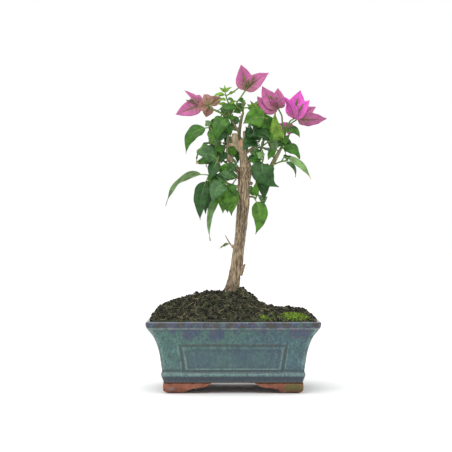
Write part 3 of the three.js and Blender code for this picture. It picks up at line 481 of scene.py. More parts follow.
# Broad and fine unevenness: the size of its waves and how far they move the wall
BROAD_WAVE, FINE_WAVE = (38, 0.22), (9, 0.06)
DRAWN_IN = 0.2
wobble = []
for vert in pot_bm.verts:
    broad = noise.noise(vert.co / BROAD_WAVE[0]) * BROAD_WAVE[1]
    wobble.append(broad + noise.noise(vert.co / FINE_WAVE[0]) * FINE_WAVE[1])
for vert, amount in zip(pot_bm.verts, wobble):
    vert.co += vert.normal * (amount - DRAWN_IN)
pot_bm.normal_update()
open_edges = sum(edge.is_boundary for edge in pot_bm.edges)
print("pot", len(pot_bm.verts), "points,", open_edges, "open edges")

# %% Where the glaze thins and pools, and where shade is painted
pot_bm.verts.ensure_lookup_table()
spots = np.array([vert.co for vert in pot_bm.verts])
normals = np.array([vert.normal for vert in pot_bm.verts])
edges = np.array([[vert.index for vert in edge.verts] for edge in pot_bm.edges])


def smoothed(values, rounds):
    """Each point's value averaged with its neighbours', a few times over."""
    count = np.bincount(edges.ravel(), minlength=len(values))[:, None]
    for _ in range(rounds):
        total = np.zeros_like(values)
        for start, end in (edges.T, edges.T[::-1]):
            for axis in range(values.shape[1]):
                total[:, axis] += np.bincount(start, values[end, axis], len(values))
        values = total / np.maximum(count, 1)
    return values


SMOOTHING_ROUNDS = 8
hollow = ((smoothed(spots, SMOOTHING_ROUNDS) - spots) * normals).sum(1)
# A corner looks both ways at once, so there the smaller part of its normal is large
turning = np.abs(normals[:, :2]).min(1)
painted = {
    "thin": soft_step(-hollow, 0.04, 0.22),
    # Glaze pools darker in hollows, and the darkening there is partly painted shade
    "pooled_and_shaded": soft_step(hollow, 0.05, 0.26),
    "drip": drip_amount(spots, normals[:, :2]),
    # The corner layer carries painted shade on the rounded upright corners, where the wall turns away from
    # the light
    "corner": soft_step(turning, 0.25, 0.55) * soft_step(-spots[:, 2], -66, -60),
}
for name, values in painted.items():
    layer = pot_bm.verts.layers.float.new(name)
    for vert, value in zip(pot_bm.verts, values):
        vert[layer] = value
print("hollow", round(float(hollow.min()), 2), round(float(hollow.max()), 2))

# %% [markdown]
# The glaze runs while it melts. It is thick and blue-purple under the rim where it gathers, thin
# and pale on edges, dark in grooves where it pools, and it breaks to brown where almost none is left.
# Teal turns to slate towards the foot. Fine speckles and a soft orange-peel surface finish it.
# Light and shade are painted in too: painted shade in grooves and hollows, on the rounded corners,
# under the rim, in the crease above the base and on the undercut base, and painted highlights on
# edges, on the lip, along the rim's lower edge and as glints on the rim.

# %% Glaze on the walls
glaze = Finish("glaze_blue_green", Specular_IOR_Level=0.55)
height = glaze.axis("Z")
sideways = glaze.axis("X")
cloud = glaze.noise(26, detail=3)
mottle = glaze.noise(4.5, (1, 1, 0.6), detail=5, roughness=0.7)
speckle = glaze.noise(0.8, detail=2, roughness=0.8)
streak = glaze.noise(2.2, (1, 1, 0.12), detail=3)
grain = glaze.noise(1.9, detail=2, roughness=0.6)
bluer = glaze.step(cloud + sideways * 0.0022, 0.4, 0.66)
body = glaze.mix(bluer, colour(60, 98, 90), colour(50, 82, 92))
body = glaze.mix(glaze.step(mottle, 0.48, 0.7) * 0.62, body, colour(92, 132, 124))
body = glaze.mix(glaze.step(0.48 - mottle, 0, 0.14) * 0.85, body, colour(46, 66, 72))
body = glaze.mix(glaze.step(streak, 0.48, 0.64) * 0.55, body, colour(46, 70, 82))
slate_share = glaze.step(34 - height + mottle * 26, 8, 40) * 0.6
body = glaze.mix(slate_share, body, colour(64, 80, 92))
body = glaze.mix(glaze.step(grain, 0.52, 0.66) * 0.6, body, colour(42, 60, 66))
body = glaze.mix(glaze.step(0.45 - grain, 0, 0.12) * 0.34, body, colour(106, 146, 136))
from_middle = glaze.distance(sideways - POT_MIDDLE / MM)
near_panel = 1 - glaze.step(from_middle, 48, 53)
inside_panel = glaze.band(height, 24, 27, 46, 50) * near_panel
body = glaze.mix(inside_panel * 0.4, body, colour(50, 68, 80))
top_edge = glaze.band(height, 49.4, 50.2, 51.4, 52.4) * near_panel
body = glaze.mix(top_edge * glaze.step(mottle, 0.46, 0.56) * 0.7, body, colour(84, 66, 54))
print("glaze on the walls", len(glaze.tree.nodes), "nodes")

# %% Glaze on the rim and in runs
on_rim = glaze.step(height, 68.6, 69.8)
patch = glaze.noise(8, (1, 1, 0.7), detail=3)
rim_tone = glaze.mix(glaze.step(patch, 0.43, 0.51), colour(50, 38, 32), colour(48, 52, 84))
rim_tone = glaze.mix(glaze.step(patch, 0.55, 0.63), rim_tone, colour(56, 78, 78))
rim_tone = glaze.mix(glaze.step(0.5 - mottle, 0, 0.1) * 0.7, rim_tone, colour(38, 32, 32))
# Painted glints of light on the rim
rim_tone = glaze.mix(glaze.step(grain, 0.56, 0.66) * 0.35, rim_tone, colour(104, 124, 136))
body = glaze.mix(on_rim * 0.92, body, rim_tone)
run = glaze.painted("drip")
thick = glaze.step(run + mottle * 0.9 + grain * 0.4, 0.78, 1.25)
body = glaze.mix(thick * 0.74, body, colour(50, 60, 94))
run_edge = glaze.band(run, 0.08, 0.3, 0.4, 0.7) * glaze.step(mottle, 0.45, 0.6)
body = glaze.mix(run_edge * 0.35, body, colour(84, 68, 60))
print("with its rim and runs", len(glaze.tree.nodes), "nodes")

# %% Glaze in corners, on edges and at the foot, with painted shade and painted highlights
# Painted shade: the rounded upright corners are darkened where the wall turns away from the light
body = glaze.mix(glaze.painted("corner") * 0.78, body, colour(42, 52, 56))
# Painted shade in the crease just above the base
crease_shade_above_base = glaze.band(height, 22.8, 23.8, 25, 26.6)
body = glaze.mix(crease_shade_above_base * glaze.step(mottle, 0.34, 0.5) * 0.6, body, colour(40, 54, 60))
# Painted shade in the band under the rim's overhang
shade_under_rim = glaze.band(height, 64.4, 66.4, 66.8, 67.6)
body = glaze.mix(shade_under_rim * glaze.step(mottle, 0.36, 0.52) * 0.5, body, colour(46, 58, 66))
# Darker where the glaze pools in hollows, with painted shade there too
pooled_and_shaded = glaze.painted("pooled_and_shaded") * glaze.step(mottle, 0.3, 0.52)
body = glaze.mix(pooled_and_shaded * 0.66, body, colour(46, 50, 50))
# Thin glaze is paler on edges, and this is also a painted highlight: it is kept off the panel's upper part,
# whose edges face down into shade
shaded_panel_top = glaze.step(height, 36, 44) * near_panel * 0.75
pale_edge_and_highlight = glaze.painted("thin") * glaze.step(mottle, 0.3, 0.55) * (1 - on_rim) * (1 - shaded_panel_top)
body = glaze.mix(pale_edge_and_highlight * 0.45, body, colour(124, 152, 144))
near_rim = glaze.step(height, 48, 66) * 0.05
brown_share = glaze.step(speckle * 0.35 + mottle * 0.65 + near_rim, 0.6, 0.68)
body = glaze.mix(brown_share * 0.7, body, colour(96, 70, 52))
rust = run * glaze.step(speckle + cloud, 1.02, 1.14)
body = glaze.mix(rust * 0.2, body, colour(88, 60, 44))
body = glaze.mix(glaze.step(speckle, 0.62, 0.7) * 0.3, body, colour(126, 162, 152))
body = glaze.mix(glaze.step(0.36 - speckle, 0, 0.06) * 0.5, body, colour(48, 62, 66))
# Painted highlight along the rounded lip of the rim
lip_highlight = glaze.step(height, 74.4, 75.2) * glaze.step(mottle, 0.34, 0.5)
body = glaze.mix(lip_highlight * 0.5, body, colour(132, 146, 146))
# Painted highlight along the rim's lower edge
rim_foot_highlight = glaze.band(height, 67.2, 68, 68.6, 69.4)
body = glaze.mix(rim_foot_highlight * glaze.step(patch, 0.42, 0.54) * 0.5, body, colour(140, 126, 128))
# Painted shade on the undercut base below its shoulder
shade_under_shoulder = 1 - glaze.step(height, 17.2, 18.6)
body = glaze.mix(shade_under_shoulder * 0.85, body, colour(42, 50, 62))
body = glaze.mix(1 - glaze.step(height, 11.4, 13), body, colour(70, 50, 38))
glaze.set(
    Base_Color=body,
    Roughness=0.16 + 0.2 * glaze.step(mottle, 0.3, 0.7),
    Normal=glaze.bump(mottle * 0.7 + speckle * 0.3, 0.35, 0.5),
)
make_piece("pot_glazed", pot_bm, [glaze], ["pot_body"])

# %% [markdown]
# The feet are bare clay, cut by hand and rubbed soft at the edges. Their outline is right in the
# CAD model, so a merged copy of each CAD foot gets rounded edges, a finer mesh and a little
# unevenness. One has a smear of glaze and one a stain of moss, as feet have that stand outside.

# %% Bare clay
clay = Finish("clay_bare", 0.85)
grain = clay.noise(0.8, detail=4, roughness=0.75)
wash = clay.noise(9, detail=3)
grit = clay.spots(1.6)
fired = clay.mix(clay.step(wash, 0.35, 0.65), colour(118, 70, 52), colour(146, 90, 68))
fired = clay.mix(clay.step(grain, 0.5, 0.72) * 0.6, fired, colour(96, 60, 48))
fired = clay.mix(clay.step(0.22 - grit, 0, 0.12) * 0.5, fired, colour(168, 120, 94))
smear = clay.step(clay.painted("smear") * 0.9 + grain * 1.3, 1.05, 1.4)
fired = clay.mix(smear * 0.75, fired, colour(104, 112, 118))
stain = clay.step(clay.painted("mossy") + grain * 0.7 + wash * 0.5, 0.85, 1.2)
stain_tone = clay.mix(clay.step(wash, 0.4, 0.6), colour(82, 76, 42), colour(78, 88, 40))
fired = clay.mix(stain * 0.85, fired, stain_tone)
fired = clay.mix(clay.step(2.2 - clay.axis("Z"), 0, 2) * 0.5, fired, colour(84, 60, 50))
clay.set(Base_Color=fired, Normal=clay.bump(grain, 0.5, 0.7))
print("bare clay", len(clay.tree.nodes), "nodes")

# %% Feet
FOOT_ROUND, EDGE_ROUND, SHARP = 7, 0.9, math.radians(40)
LONGEST_EDGE, REFINED = 2.2, 3
# A blot's middle on the front of the feet, how much longer than high it is, and its reach
SMEAR, STAIN = (-64, 4.5, 1.8, 5), (62, 5, 2.2, 9)


def blot(x, y, z, at_x, at_z, stretch, reach):
    """1 in the middle of a long blot on the pot's front and 0 past its reach."""
    return max(0, 1 - math.hypot((x - at_x) / stretch, z - at_z) / reach) if y < 0 else 0


def foot_piece(name):
    """A finer copy of one CAD foot, with rubbed edges and its outer bottom edge rounded off."""
    low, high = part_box(name)
    foot_x = max(abs(low.x - POT_MIDDLE), abs(high.x - POT_MIDDLE)) / MM
    foot_y = max(abs(low.y), abs(high.y)) / MM
    bm = bmesh.new()
    bm.from_mesh(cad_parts[name].data)
    bm.transform(TO_FRAME.inverted())
    bmesh.ops.remove_doubles(bm, verts=bm.verts, dist=1e-3)
    bmesh.ops.dissolve_limit(bm, angle_limit=0.01, verts=bm.verts, edges=bm.edges)
    sharp = [edge for edge in bm.edges if edge.calc_face_angle(0) > SHARP]
    bmesh.ops.bevel(
        bm, geom=sharp, offset=EDGE_ROUND, offset_type="OFFSET", affect="EDGES", segments=3,
        profile=0.5, material=-1, clamp_overlap=True,
    )
    bmesh.ops.triangulate(bm, faces=bm.faces)
    for _ in range(REFINED):
        long = [edge for edge in bm.edges if edge.calc_length() > LONGEST_EDGE]
        bmesh.ops.subdivide_edges(bm, edges=long, cuts=1)
        bmesh.ops.triangulate(bm, faces=bm.faces)
    bm.normal_update()
    smear = bm.verts.layers.float.new("smear")
    mossy = bm.verts.layers.float.new("mossy")
    for vert in bm.verts:
        x, y, z = vert.co
        from_x, from_y = foot_x - abs(x), foot_y - abs(y)
        x_share, y_share = max(0, 1 - from_x / FOOT_ROUND), max(0, 1 - from_y / FOOT_ROUND)
        low_share = max(0, 1 - z / FOOT_ROUND)
        out = math.hypot(max(x_share, y_share), low_share)
        if out > 1:
            vert.co.z += (1 - 1 / out) * FOOT_ROUND * low_share
            if x_share > y_share:
                vert.co.x -= math.copysign((1 - 1 / out) * FOOT_ROUND * x_share, x)
            else:
                vert.co.y -= math.copysign((1 - 1 / out) * FOOT_ROUND * y_share, y)
        vert.co += vert.normal * (0.25 * noise.noise(vert.co / 3) - 0.12)
        vert[smear] = blot(x, y, z, *SMEAR)
        vert[mossy] = blot(x, y, z, *STAIN)
    for face in bm.faces:
        face.smooth = True
    make_piece(name.replace("pot_", "clay_"), bm, [clay], [name])


for end in ("front", "back"):
    for side in ("left", "right"):
        foot_piece(f"pot_foot_{end}_{side}")

# %% [markdown]
# The soil is heaped above the rim, highest round the trunk. It is a flat grid lifted to the
# mound's height, with crumbs pushed up in it, and its border is extruded down to the pot's floor
# and closed, so that the soil is one body that fills the pot. Loose crumbs, fibres, straw and moss
# lie on it as small joined pieces, because the edge of real soil against the light is never smooth.

# %% The mound
SEAT_Z, SEAT_RADIUS = 103.4, 11
TRUNK_FOOT = (-1.4, -1)
SOIL_WAVES = 1.2
HALF_X, HALF_Y = WIDTH / 2 - 4, DEPTH / 2 - 4
CORNER_CUT, SOIL_EDGE = 5, 75.7
# One clod against the trunk: its middle, its half-widths and its height
CLOD, CLOD_X, CLOD_Y, CLOD_RISE = (8, -8), 5.6, 7, 4.6
# Cushions of moss: the middle, the half-widths and the height of each
MOSS_PATCHES = [
    (63, -52, 12.5, 6.5, 2.2), (32, -56, 4, 3, 0.8), (-70, 34, 10, 8, 1), (52, 44, 12, 8, 0.4),
]


def mound_height(x, y):
    """The soil's height by the CAD model's rule, but capped just above the trunk's seat, a little
    lower at both sides of the trunk, and with a clod against it."""
    inside = (1 - np.abs(x / HALF_X) ** 12) * (1 - np.abs(y / HALF_Y) ** 4)
    left, right = np.maximum(0, -18 - x) / 46, np.maximum(0, x - 5) / 23
    hump = np.exp(-((left + right) ** 2) - (y / 40) ** 2)
    waves = np.sin(x * 0.16 + 1.3) * np.cos(y * 0.19 + 0.4)
    waves = waves + 0.8 * np.sin(x * 0.41 + y * 0.23) * np.cos(y * 0.37 - x * 0.12 + 2)
    rise = (10 + 18 * hump + SOIL_WAVES * waves) * np.maximum(0, inside)
    seat = soft_step(np.hypot(x - TRUNK_FOOT[0], y - TRUNK_FOOT[1]), SEAT_RADIUS, SEAT_RADIUS * 2)
    ground = np.minimum(SEAT_Z + (RIM_TOP + 1.6 + rise - SEAT_Z) * seat, SEAT_Z + 1.2)
    ground = ground - 2.6 * soft_step(x, 18, 42) - 1.8 * np.exp(-(((x + 33) / 17) ** 2))
    return ground + CLOD_RISE * np.exp(-(((x - CLOD[0]) / CLOD_X) ** 4) - ((y - CLOD[1]) / CLOD_Y) ** 2)


def cushion(x, y, at_x, at_y, wide, deep):
    """1 in the middle of a cushion of moss, and less away from it."""
    return np.exp(-(((x - at_x) / wide) ** 2) - ((y - at_y) / deep) ** 2)


def moss_amount(x, y):
    """How much moss grows at each place."""
    return np.max([cushion(x, y, *patch[:4]) for patch in MOSS_PATCHES], axis=0)


def add_cushions(ground, x, y):
    """The ground raised by the cushions of moss."""
    for patch in MOSS_PATCHES:
        ground = ground + patch[4] * cushion(x, y, *patch[:4])
    return ground


def soil_points(across, along):
    """A grid over the pot, with its corners drawn in and its border pressed down to the rim."""
    x, y = (across * 2 - 1) * HALF_X, (along * 2 - 1) * HALF_Y
    corner = np.maximum(0, np.abs(x) + np.abs(y) - (HALF_X + HALF_Y - CORNER_CUT))
    x, y = x - np.sign(x) * corner * 0.35, y - np.sign(y) * corner * 0.35
    flat = np.column_stack([x, y, np.zeros_like(x)])
    clods = 3.2 * np.abs(rough(flat, 4.2)) + 1.8 * np.abs(rough(flat + 7, 1.9)) - 1.9
    crumbs = clods + 1.5 * rough(flat, 9) + 0.5 * rough(flat + 3, 1.1)
    free = soft_step(np.hypot(x - TRUNK_FOOT[0], y - TRUNK_FOOT[1]), 7, SEAT_RADIUS)
    border = np.minimum(HALF_X - np.abs(x), HALF_Y - np.abs(y))
    z = add_cushions(mound_height(x, y), x, y) + crumbs * free * soft_step(border, 0, 4)
    z = SOIL_EDGE + (z - SOIL_EDGE) * soft_step(border, -0.5, 2.2)
    return np.column_stack([x, y, z])


SOIL_COLUMNS, SOIL_ROWS = 200, 146
# The rings below the soil's border: how far each is drawn in along and across the pot, its height
SKIRT = [(0.9, 0.86, 71), (0.85, 0.778, FLOOR_ABOVE + 0.1)]
soil_bm = bmesh.new()
bend_grid(soil_bm, SOIL_COLUMNS, SOIL_ROWS, soil_points)
for along_pot, across_pot, height in SKIRT:
    border = [edge for edge in soil_bm.edges if edge.is_boundary]
    for vert in bmesh.ops.extrude_edge_only(soil_bm, edges=border)["geom"]:
        if isinstance(vert, bmesh.types.BMVert):
            vert.co = (vert.co.x * along_pot, vert.co.y * across_pot, height)
bmesh.ops.edgeloop_fill(soil_bm, edges=[edge for edge in soil_bm.edges if edge.is_boundary])
bmesh.ops.recalc_face_normals(soil_bm, faces=soil_bm.faces)
print("soil", len(soil_bm.verts), "points")

# %% The soil's finish
soil = Finish("soil_dark", 0.95)
crumb = soil.noise(1.6, detail=4, roughness=0.75)
damp = soil.noise(13, detail=3)
fleck = soil.noise(0.7, detail=2, roughness=0.8)
earth = soil.mix(soil.step(crumb, 0.38, 0.64), colour(9, 10, 7), colour(60, 59, 40))
film = soil.step(damp, 0.36, 0.56) * soil.step(crumb, 0.38, 0.56)
earth = soil.mix(film * 0.8, earth, colour(58, 68, 30))
earth = soil.mix(soil.step(fleck, 0.57, 0.68) * 0.7, earth, colour(128, 120, 86))
# Painted shade in the soil's hollows, wherever the surface lies below the smooth mound
earth = soil.mix((1 - soil.painted("raised")) * 0.75, earth, colour(8, 9, 7))
earth = soil.mix(soil.painted("moss") * soil.step(crumb, 0.36, 0.6) * 0.8, earth, colour(70, 100, 34))
soil.set(Base_Color=earth, Normal=soil.bump(crumb, 0.8, 0.8))
moss_layer = soil_bm.verts.layers.float.new("moss")
raised_layer = soil_bm.verts.layers.float.new("raised")
soil_spots = np.array([vert.co for vert in soil_bm.verts])
mossy = soft_step(moss_amount(soil_spots[:, 0], soil_spots[:, 1]), 0.3, 0.7)
# How far the soil lies above its hollows; the low places get painted shade
raised = soft_step(soil_spots[:, 2] - mound_height(soil_spots[:, 0], soil_spots[:, 1]), -1.7, -0.2)
for vert, moss_share, raised_share in zip(soil_bm.verts, mossy, raised):
    vert[moss_layer] = moss_share
    vert[raised_layer] = raised_share
make_piece("soil_mound", soil_bm, [soil], ["soil"])

# %% Loose crumbs
CRUMBS, TRUNK_CLEARANCE, ALL_ROUND = 4200, 12, 6.28


def soil_at(x, y):
    """The mound's height at one place, without its crumbs."""
    return float(mound_height(np.array([x]), np.array([y]))[0])


def scattered(random, count, margin):
    """Places on the soil, clear of the trunk."""
    places = []
    while len(places) < count:
        x = random.uniform(-HALF_X + margin, HALF_X - margin)
        y = random.uniform(-HALF_Y + margin, HALF_Y - margin)
        if math.hypot(x - TRUNK_FOOT[0], y - TRUNK_FOOT[1]) > TRUNK_CLEARANCE:
            places.append((x, y))
    return places


def strew(name, shape, places, finish):
    """One joined piece of many small copies of a shape, each moved by its own matrix."""
    bmesh.ops.triangulate(shape, faces=shape.faces)
    shape.verts.ensure_lookup_table()
    corners = np.array([[*vert.co, 1] for vert in shape.verts])
    faces = np.array([[vert.index for vert in face.verts] for face in shape.faces])
    shape.free()
    points = np.einsum("nij,vj->nvi", np.array(places), corners)[:, :, :3].reshape(-1, 3)
    joined = (faces[None] + (np.arange(len(places)) * len(corners))[:, None, None]).reshape(-1, 3)
    mesh = bpy.data.meshes.new(name)
    mesh.from_pydata(points.tolist(), [], joined.tolist())
    bm = bmesh.new()
    bm.from_mesh(mesh)
    bpy.data.meshes.remove(mesh)
    return make_piece(name, bm, [finish])


random = np.random.default_rng(5)
crumb_places = []
for x, y in scattered(random, CRUMBS, margin=1):
    size = random.uniform(0.3, 0.75) + 1.5 * random.random() ** 5
    shape = Matrix.Diagonal((random.uniform(0.7, 1.3), random.uniform(0.7, 1.3), random.uniform(0.5, 1), 1))
    turn = Matrix.Rotation(random.uniform(0, ALL_ROUND), 4, Vector(random.normal(size=3)))
    at = Matrix.Translation((x, y, soil_at(x, y) + size * 0.5))
    crumb_places.append(at @ turn @ Matrix.Scale(size, 4) @ shape)
crumb = bmesh.new()
bmesh.ops.create_icosphere(crumb, subdivisions=1, radius=1)
strew("soil_crumbs", crumb, crumb_places, soil)


# %% Fibres
def tube_points(path, radii, count):
    """The rule that bends a grid into a tapering tube with closed ends, along a curve."""
    centres = curve_through(path, count)
    sizes = np.interp(np.linspace(0, 1, count), np.linspace(0, 1, len(radii)), radii)
    ways = np.gradient(centres, axis=0)
    ways /= np.linalg.norm(ways, axis=1)[:, None]
    side = np.cross(ways[0], (0.31, 0.23, 0.92))
    sides = []
    for way in ways:
        side = side - way * (side @ way)
        side = side / np.linalg.norm(side)
        sides.append(side)
    sides = np.array(sides)
    crosses = np.cross(ways, sides)

    def place(across, along):
        row = np.rint(along * (count + 1)).astype(int)
        ring = np.clip(row - 1, 0, count - 1)
        size = np.where((row == 0) | (row == count + 1), 0, sizes[ring])[:, None]
        angle = (across * 2 * math.pi)[:, None]
        return centres[ring] + size * (np.cos(angle) * sides[ring] + np.sin(angle) * crosses[ring])

    return place


def add_tube(bm, path, radii, sides, rows):
    """A tapering tube with closed ends."""
    bend_grid(bm, sides, rows + 1, tube_points(path, radii, rows))


FIBRES, CLOD_FIBRES = 1300, 60
ON_RIM, FIBRE_LIFT = 76, 0.4
fibre = Finish("fibre_dry", 0.8)
fibre_tone = fibre.noise(6, detail=2)
fibre.set(Base_Color=fibre.mix(fibre.step(fibre_tone, 0.4, 0.6), colour(66, 64, 40), colour(140, 132, 98)))
fibre_bm = bmesh.new()
on_clod = [CLOD + random.normal(size=2) * (5, 4) for _ in range(CLOD_FIBRES)]
for x, y in scattered(random, FIBRES, margin=1) + on_clod:
    length, heading = random.uniform(3, 12), random.uniform(0, ALL_ROUND)
    lift = random.uniform(0.1, 0.6) * length * (random.random() ** 1.5)
    step = np.array([math.cos(heading), math.sin(heading)]) * length / 2
    bend = random.normal(size=2) * length * 0.12
    path = []
    for part, rise in ((-1, 0), (0, 0.3), (1, lift)):
        px, py = np.array([x, y]) + step * part + bend * (part == 0)
        px, py = np.clip(px, -HALF_X, HALF_X), np.clip(py, -HALF_Y, HALF_Y)
        path.append((px, py, max(soil_at(px, py), ON_RIM) + FIBRE_LIFT + rise))
    add_tube(fibre_bm, path, [0.11, 0.19, 0.09], 3, 5)
make_piece("soil_fibres", fibre_bm, [fibre])

# %% Straw
STRAWS, STRAW_LIFT = 12, 0.8
straw = Finish("straw_bits", 0.75)
straw_tone = straw.noise(3, detail=3)
straw.set(Base_Color=straw.mix(straw.step(straw_tone, 0.4, 0.6), colour(140, 124, 84), colour(172, 158, 118)))
straw_bm = bmesh.new()
# Bits of straw in front: the middle, the heading in degrees and the length of each
straws = [(-44, -34, 20, 7), (-40, -38, 70, 5), (-16, -52, -35, 9), (-13, -50, 25, 6), (30, -45, 60, 6)]
for x, y in scattered(random, STRAWS, margin=4):
    straws.append((x, y, random.uniform(0, 180), random.uniform(3, 8)))
for x, y, heading, length in straws:
    step = np.array([math.cos(math.radians(heading)), math.sin(math.radians(heading))]) * length / 2
    ends = [np.array([x, y]) - step, np.array([x, y]), np.array([x, y]) + step]
    path = [(px, py, soil_at(px, py) + STRAW_LIFT + 0.5 * i) for i, (px, py) in enumerate(ends)]
    add_tube(straw_bm, path, [0.2, 0.3, 0.16], 4, 4)
make_piece("soil_straw", straw_bm, [straw])

# %% Moss
moss = Finish("moss_green", 0.9)
moss_tone = moss.noise(1.7, detail=3)
moss.set(Base_Color=moss.mix(moss.step(moss_tone, 0.4, 0.6), colour(42, 68, 16), colour(138, 170, 48)))
TUFTS, LEAN = 2400, 0.8
moss_places = []
while len(moss_places) < TUFTS:
    x, y = random.uniform(-HALF_X + 2, HALF_X - 2), random.uniform(-HALF_Y + 1, HALF_Y - 1)
    amount = float(moss_amount(np.array([x]), np.array([y]))[0])
    if random.random() > amount**1.5:
        continue
    tall, wide = random.uniform(0.8, 3.2), random.uniform(0.25, 0.5)
    nod, sway = [Matrix.Rotation(random.uniform(-LEAN, LEAN), 4, axis) for axis in "XY"]
    lean = nod @ sway
    at = Matrix.Translation((x, y, soil_at(x, y) + add_cushions(0, x, y) + tall * 0.35))
    moss_places.append(at @ lean @ Matrix.Diagonal((wide, wide, tall, 1)))
tuft = bmesh.new()
bmesh.ops.create_cone(tuft, cap_ends=True, segments=4, radius1=1, radius2=0.15, depth=1)
strew("soil_moss", tuft, moss_places, moss)

# %% [markdown]
# The trunk and its limbs are given by points that each carry a radius. To let a limb swell out of
# the trunk as wood does, all of them are made as plain tubes, run together into one skin with a
# voxel remesh, and only then given their furrows. The furrows run along each limb, so every point
# first looks for the limb that it belongs to.

# %% Trunk and limbs
# Every point is a place and a radius
TRUNK = [
    [-1.4, -1, 103.7, 8.6], [-0.6, -1, 109, 7], [1.6, 0, 120, 6.2], [4.5, 1, 135, 6],
    [6.2, 1.5, 150, 5.5], [8.2, 1.5, 165, 5.5], [9.4, 1, 180, 5.8], [10.7, 0.5, 195, 6.3],
    [11.3, 0, 210, 6.35], [12, 0, 224, 6.5], [13.4, 0, 234, 6.9], [12.7, 0, 241, 5.5],
    [10.6, 0, 250, 4.1], [9.9, 0, 257, 3.9], [9.3, -0.3, 263, 3.4], [9, -0.5, 266, 2.2],
]

LIMBS = dict(
    trunk_knot_right=[[7.6, -1, 121, 2.4], [9.6, -1.4, 127, 2.3], [13, -2, 133.4, 0.8]],
    trunk_knot_left=[[4, 0, 150, 2.8], [-1.2, -1, 152.3, 1.7]],
    stub_right=[[14, 1, 221, 2.4], [20.8, 3, 218.8, 1.7]],
    stub_left=[
        [8.4, -1, 254, 3], [4.4, -1.8, 260, 3.5], [1.9, -2.4, 267, 3.5], [1.5, -2.4, 272.6, 2.6],
    ],
    leader=[
        [9, 3, 252, 2.2], [7, 4.4, 264, 2], [6.6, 4.2, 272, 1.9], [7.8, 3, 282, 1.7],
        [9.4, 1.6, 290, 1.5], [11, 1, 295.3, 1.3],
    ],
    bough_left_top=[
        [6.8, 4, 271, 1.5], [5.4, 3.4, 275.6, 1.4], [2, 2.2, 281, 1.3], [-1.7, 0.9, 287, 1.2],
    ],
    bough_left_upright=[
        [9, 2, 233, 2], [-2.4, 5, 241, 1.6], [-6.6, 5, 249, 1.5], [-5.4, 5, 262, 1.3],
        [-5, 4, 273, 1.1],
    ],
    bough_left_low=[[8, 0, 225, 2], [-1, -3, 227.2, 1.7], [-8, -5, 229, 1.4]],
    bough_left_rise=[[-8.3, -4, 230.8, 1.4], [-13.6, -1, 236, 1.3], [-16.8, 0, 247, 1.2]],
    bough_left_hang=[[8, -1, 214.4, 1.9], [0.6, -6, 216.4, 1.5], [-3.8, -9, 218.2, 1.2]],
    bough_right_low=[[14, 1, 234, 3.2], [27, 5, 236.5, 2.6], [38.4, 6, 238.4, 2.4]],
    bough_right_up=[[40.6, 6, 236.6, 2.5], [45.8, 6, 246.6, 2.3], [50.9, 4.9, 256, 1.7]],
    bough_right_inner=[[11, 1, 250, 2], [19.5, 5, 256, 1.6], [27, 5, 263, 1.3]],
    bough_back_left=[[9, 2, 229, 2.2], [2, 14, 234, 1.8], [-6, 23, 241, 1.4]],
    bough_back_right=[[13, 2, 239, 2.2], [19, 13, 244, 1.8], [26, 22, 251, 1.4]],
    bough_back_low=[[11, 2, 205, 2], [12.5, 12, 209, 1.6], [14, 19, 212, 1.3]],
)

# Old pruning wounds that healed to knobs, and the heel of a torn twig
KNOBS = dict(
    knob_left=[[2, -2.5, 260.6, 2.2], [-1.6, -3.6, 260.4, 1.7], [-4.2, -4.4, 260.1, 2.3]],
    snag_right=[[10.6, 1, 260, 2.4], [12.2, 0.8, 268, 1.9], [11.8, 0.4, 275.2, 1.3]],
    heel_left=[[-6, 3, 250, 1.8], [-3.4, 2, 245, 2.6], [-0.6, 2, 241.6, 2]],
)

# Limbs that end in a dry or sawn face, and how far that face reaches back
CUT_ENDS = {"trunk": 2.2, "leader": 2, "stub_left": 2, "stub_right": 1.4, "knob_left": 1.6, "snag_right": 3}
# How green the skin of a young limb still is
GREEN = {
    "leader": 1, "bough_left_top": 0.5, "bough_right_up": 0.6, "bough_right_inner": 0.5,
    "bough_left_rise": 0.4,
}
WOOD = {"trunk": TRUNK, **LIMBS, **KNOBS}
LIMB_SIDES, ROWS_A_SPAN = 28, 10
VOXEL, SMOOTHINGS = 0.42, 3
print(len(WOOD), "limbs and knobs")


def wood_tubes():
    """All limbs as plain overlapping tubes."""
    bm = bmesh.new()
    for points in WOOD.values():
        path = [point[:3] for point in points]
        rows = ROWS_A_SPAN * (len(points) - 1) + 1
        radii = curve_through(points, rows)[:, 3]
        add_tube(bm, path, list(radii), LIMB_SIDES, rows)
    return bm


def run_together(bm, voxel):
    """One skin round overlapping tubes."""
    mesh = bpy.data.meshes.new("tubes")
    bm.to_mesh(mesh)
    bm.free()
    shape = bpy.data.objects.new("tubes", mesh)
    scene.collection.objects.link(shape)
    remesh = shape.modifiers.new("run_together", "REMESH")
    remesh.mode = "VOXEL"
    remesh.voxel_size = voxel
    remesh.adaptivity = 0
    depsgraph = bpy.context.evaluated_depsgraph_get()
    joined = bmesh.new()
    joined.from_object(shape, depsgraph)
    bpy.data.objects.remove(shape)
    bpy.data.meshes.remove(mesh)
    every_axis = dict(use_axis_x=True, use_axis_y=True, use_axis_z=True)
    for _ in range(SMOOTHINGS):
        bmesh.ops.smooth_vert(joined, verts=joined.verts, factor=0.5, **every_axis)
    return joined


wood_bm = run_together(wood_tubes(), VOXEL)
print("wood", len(wood_bm.verts), "points")

# %% The limb that each point belongs to
SAMPLES_A_SPAN, CHUNK = 9, 8000
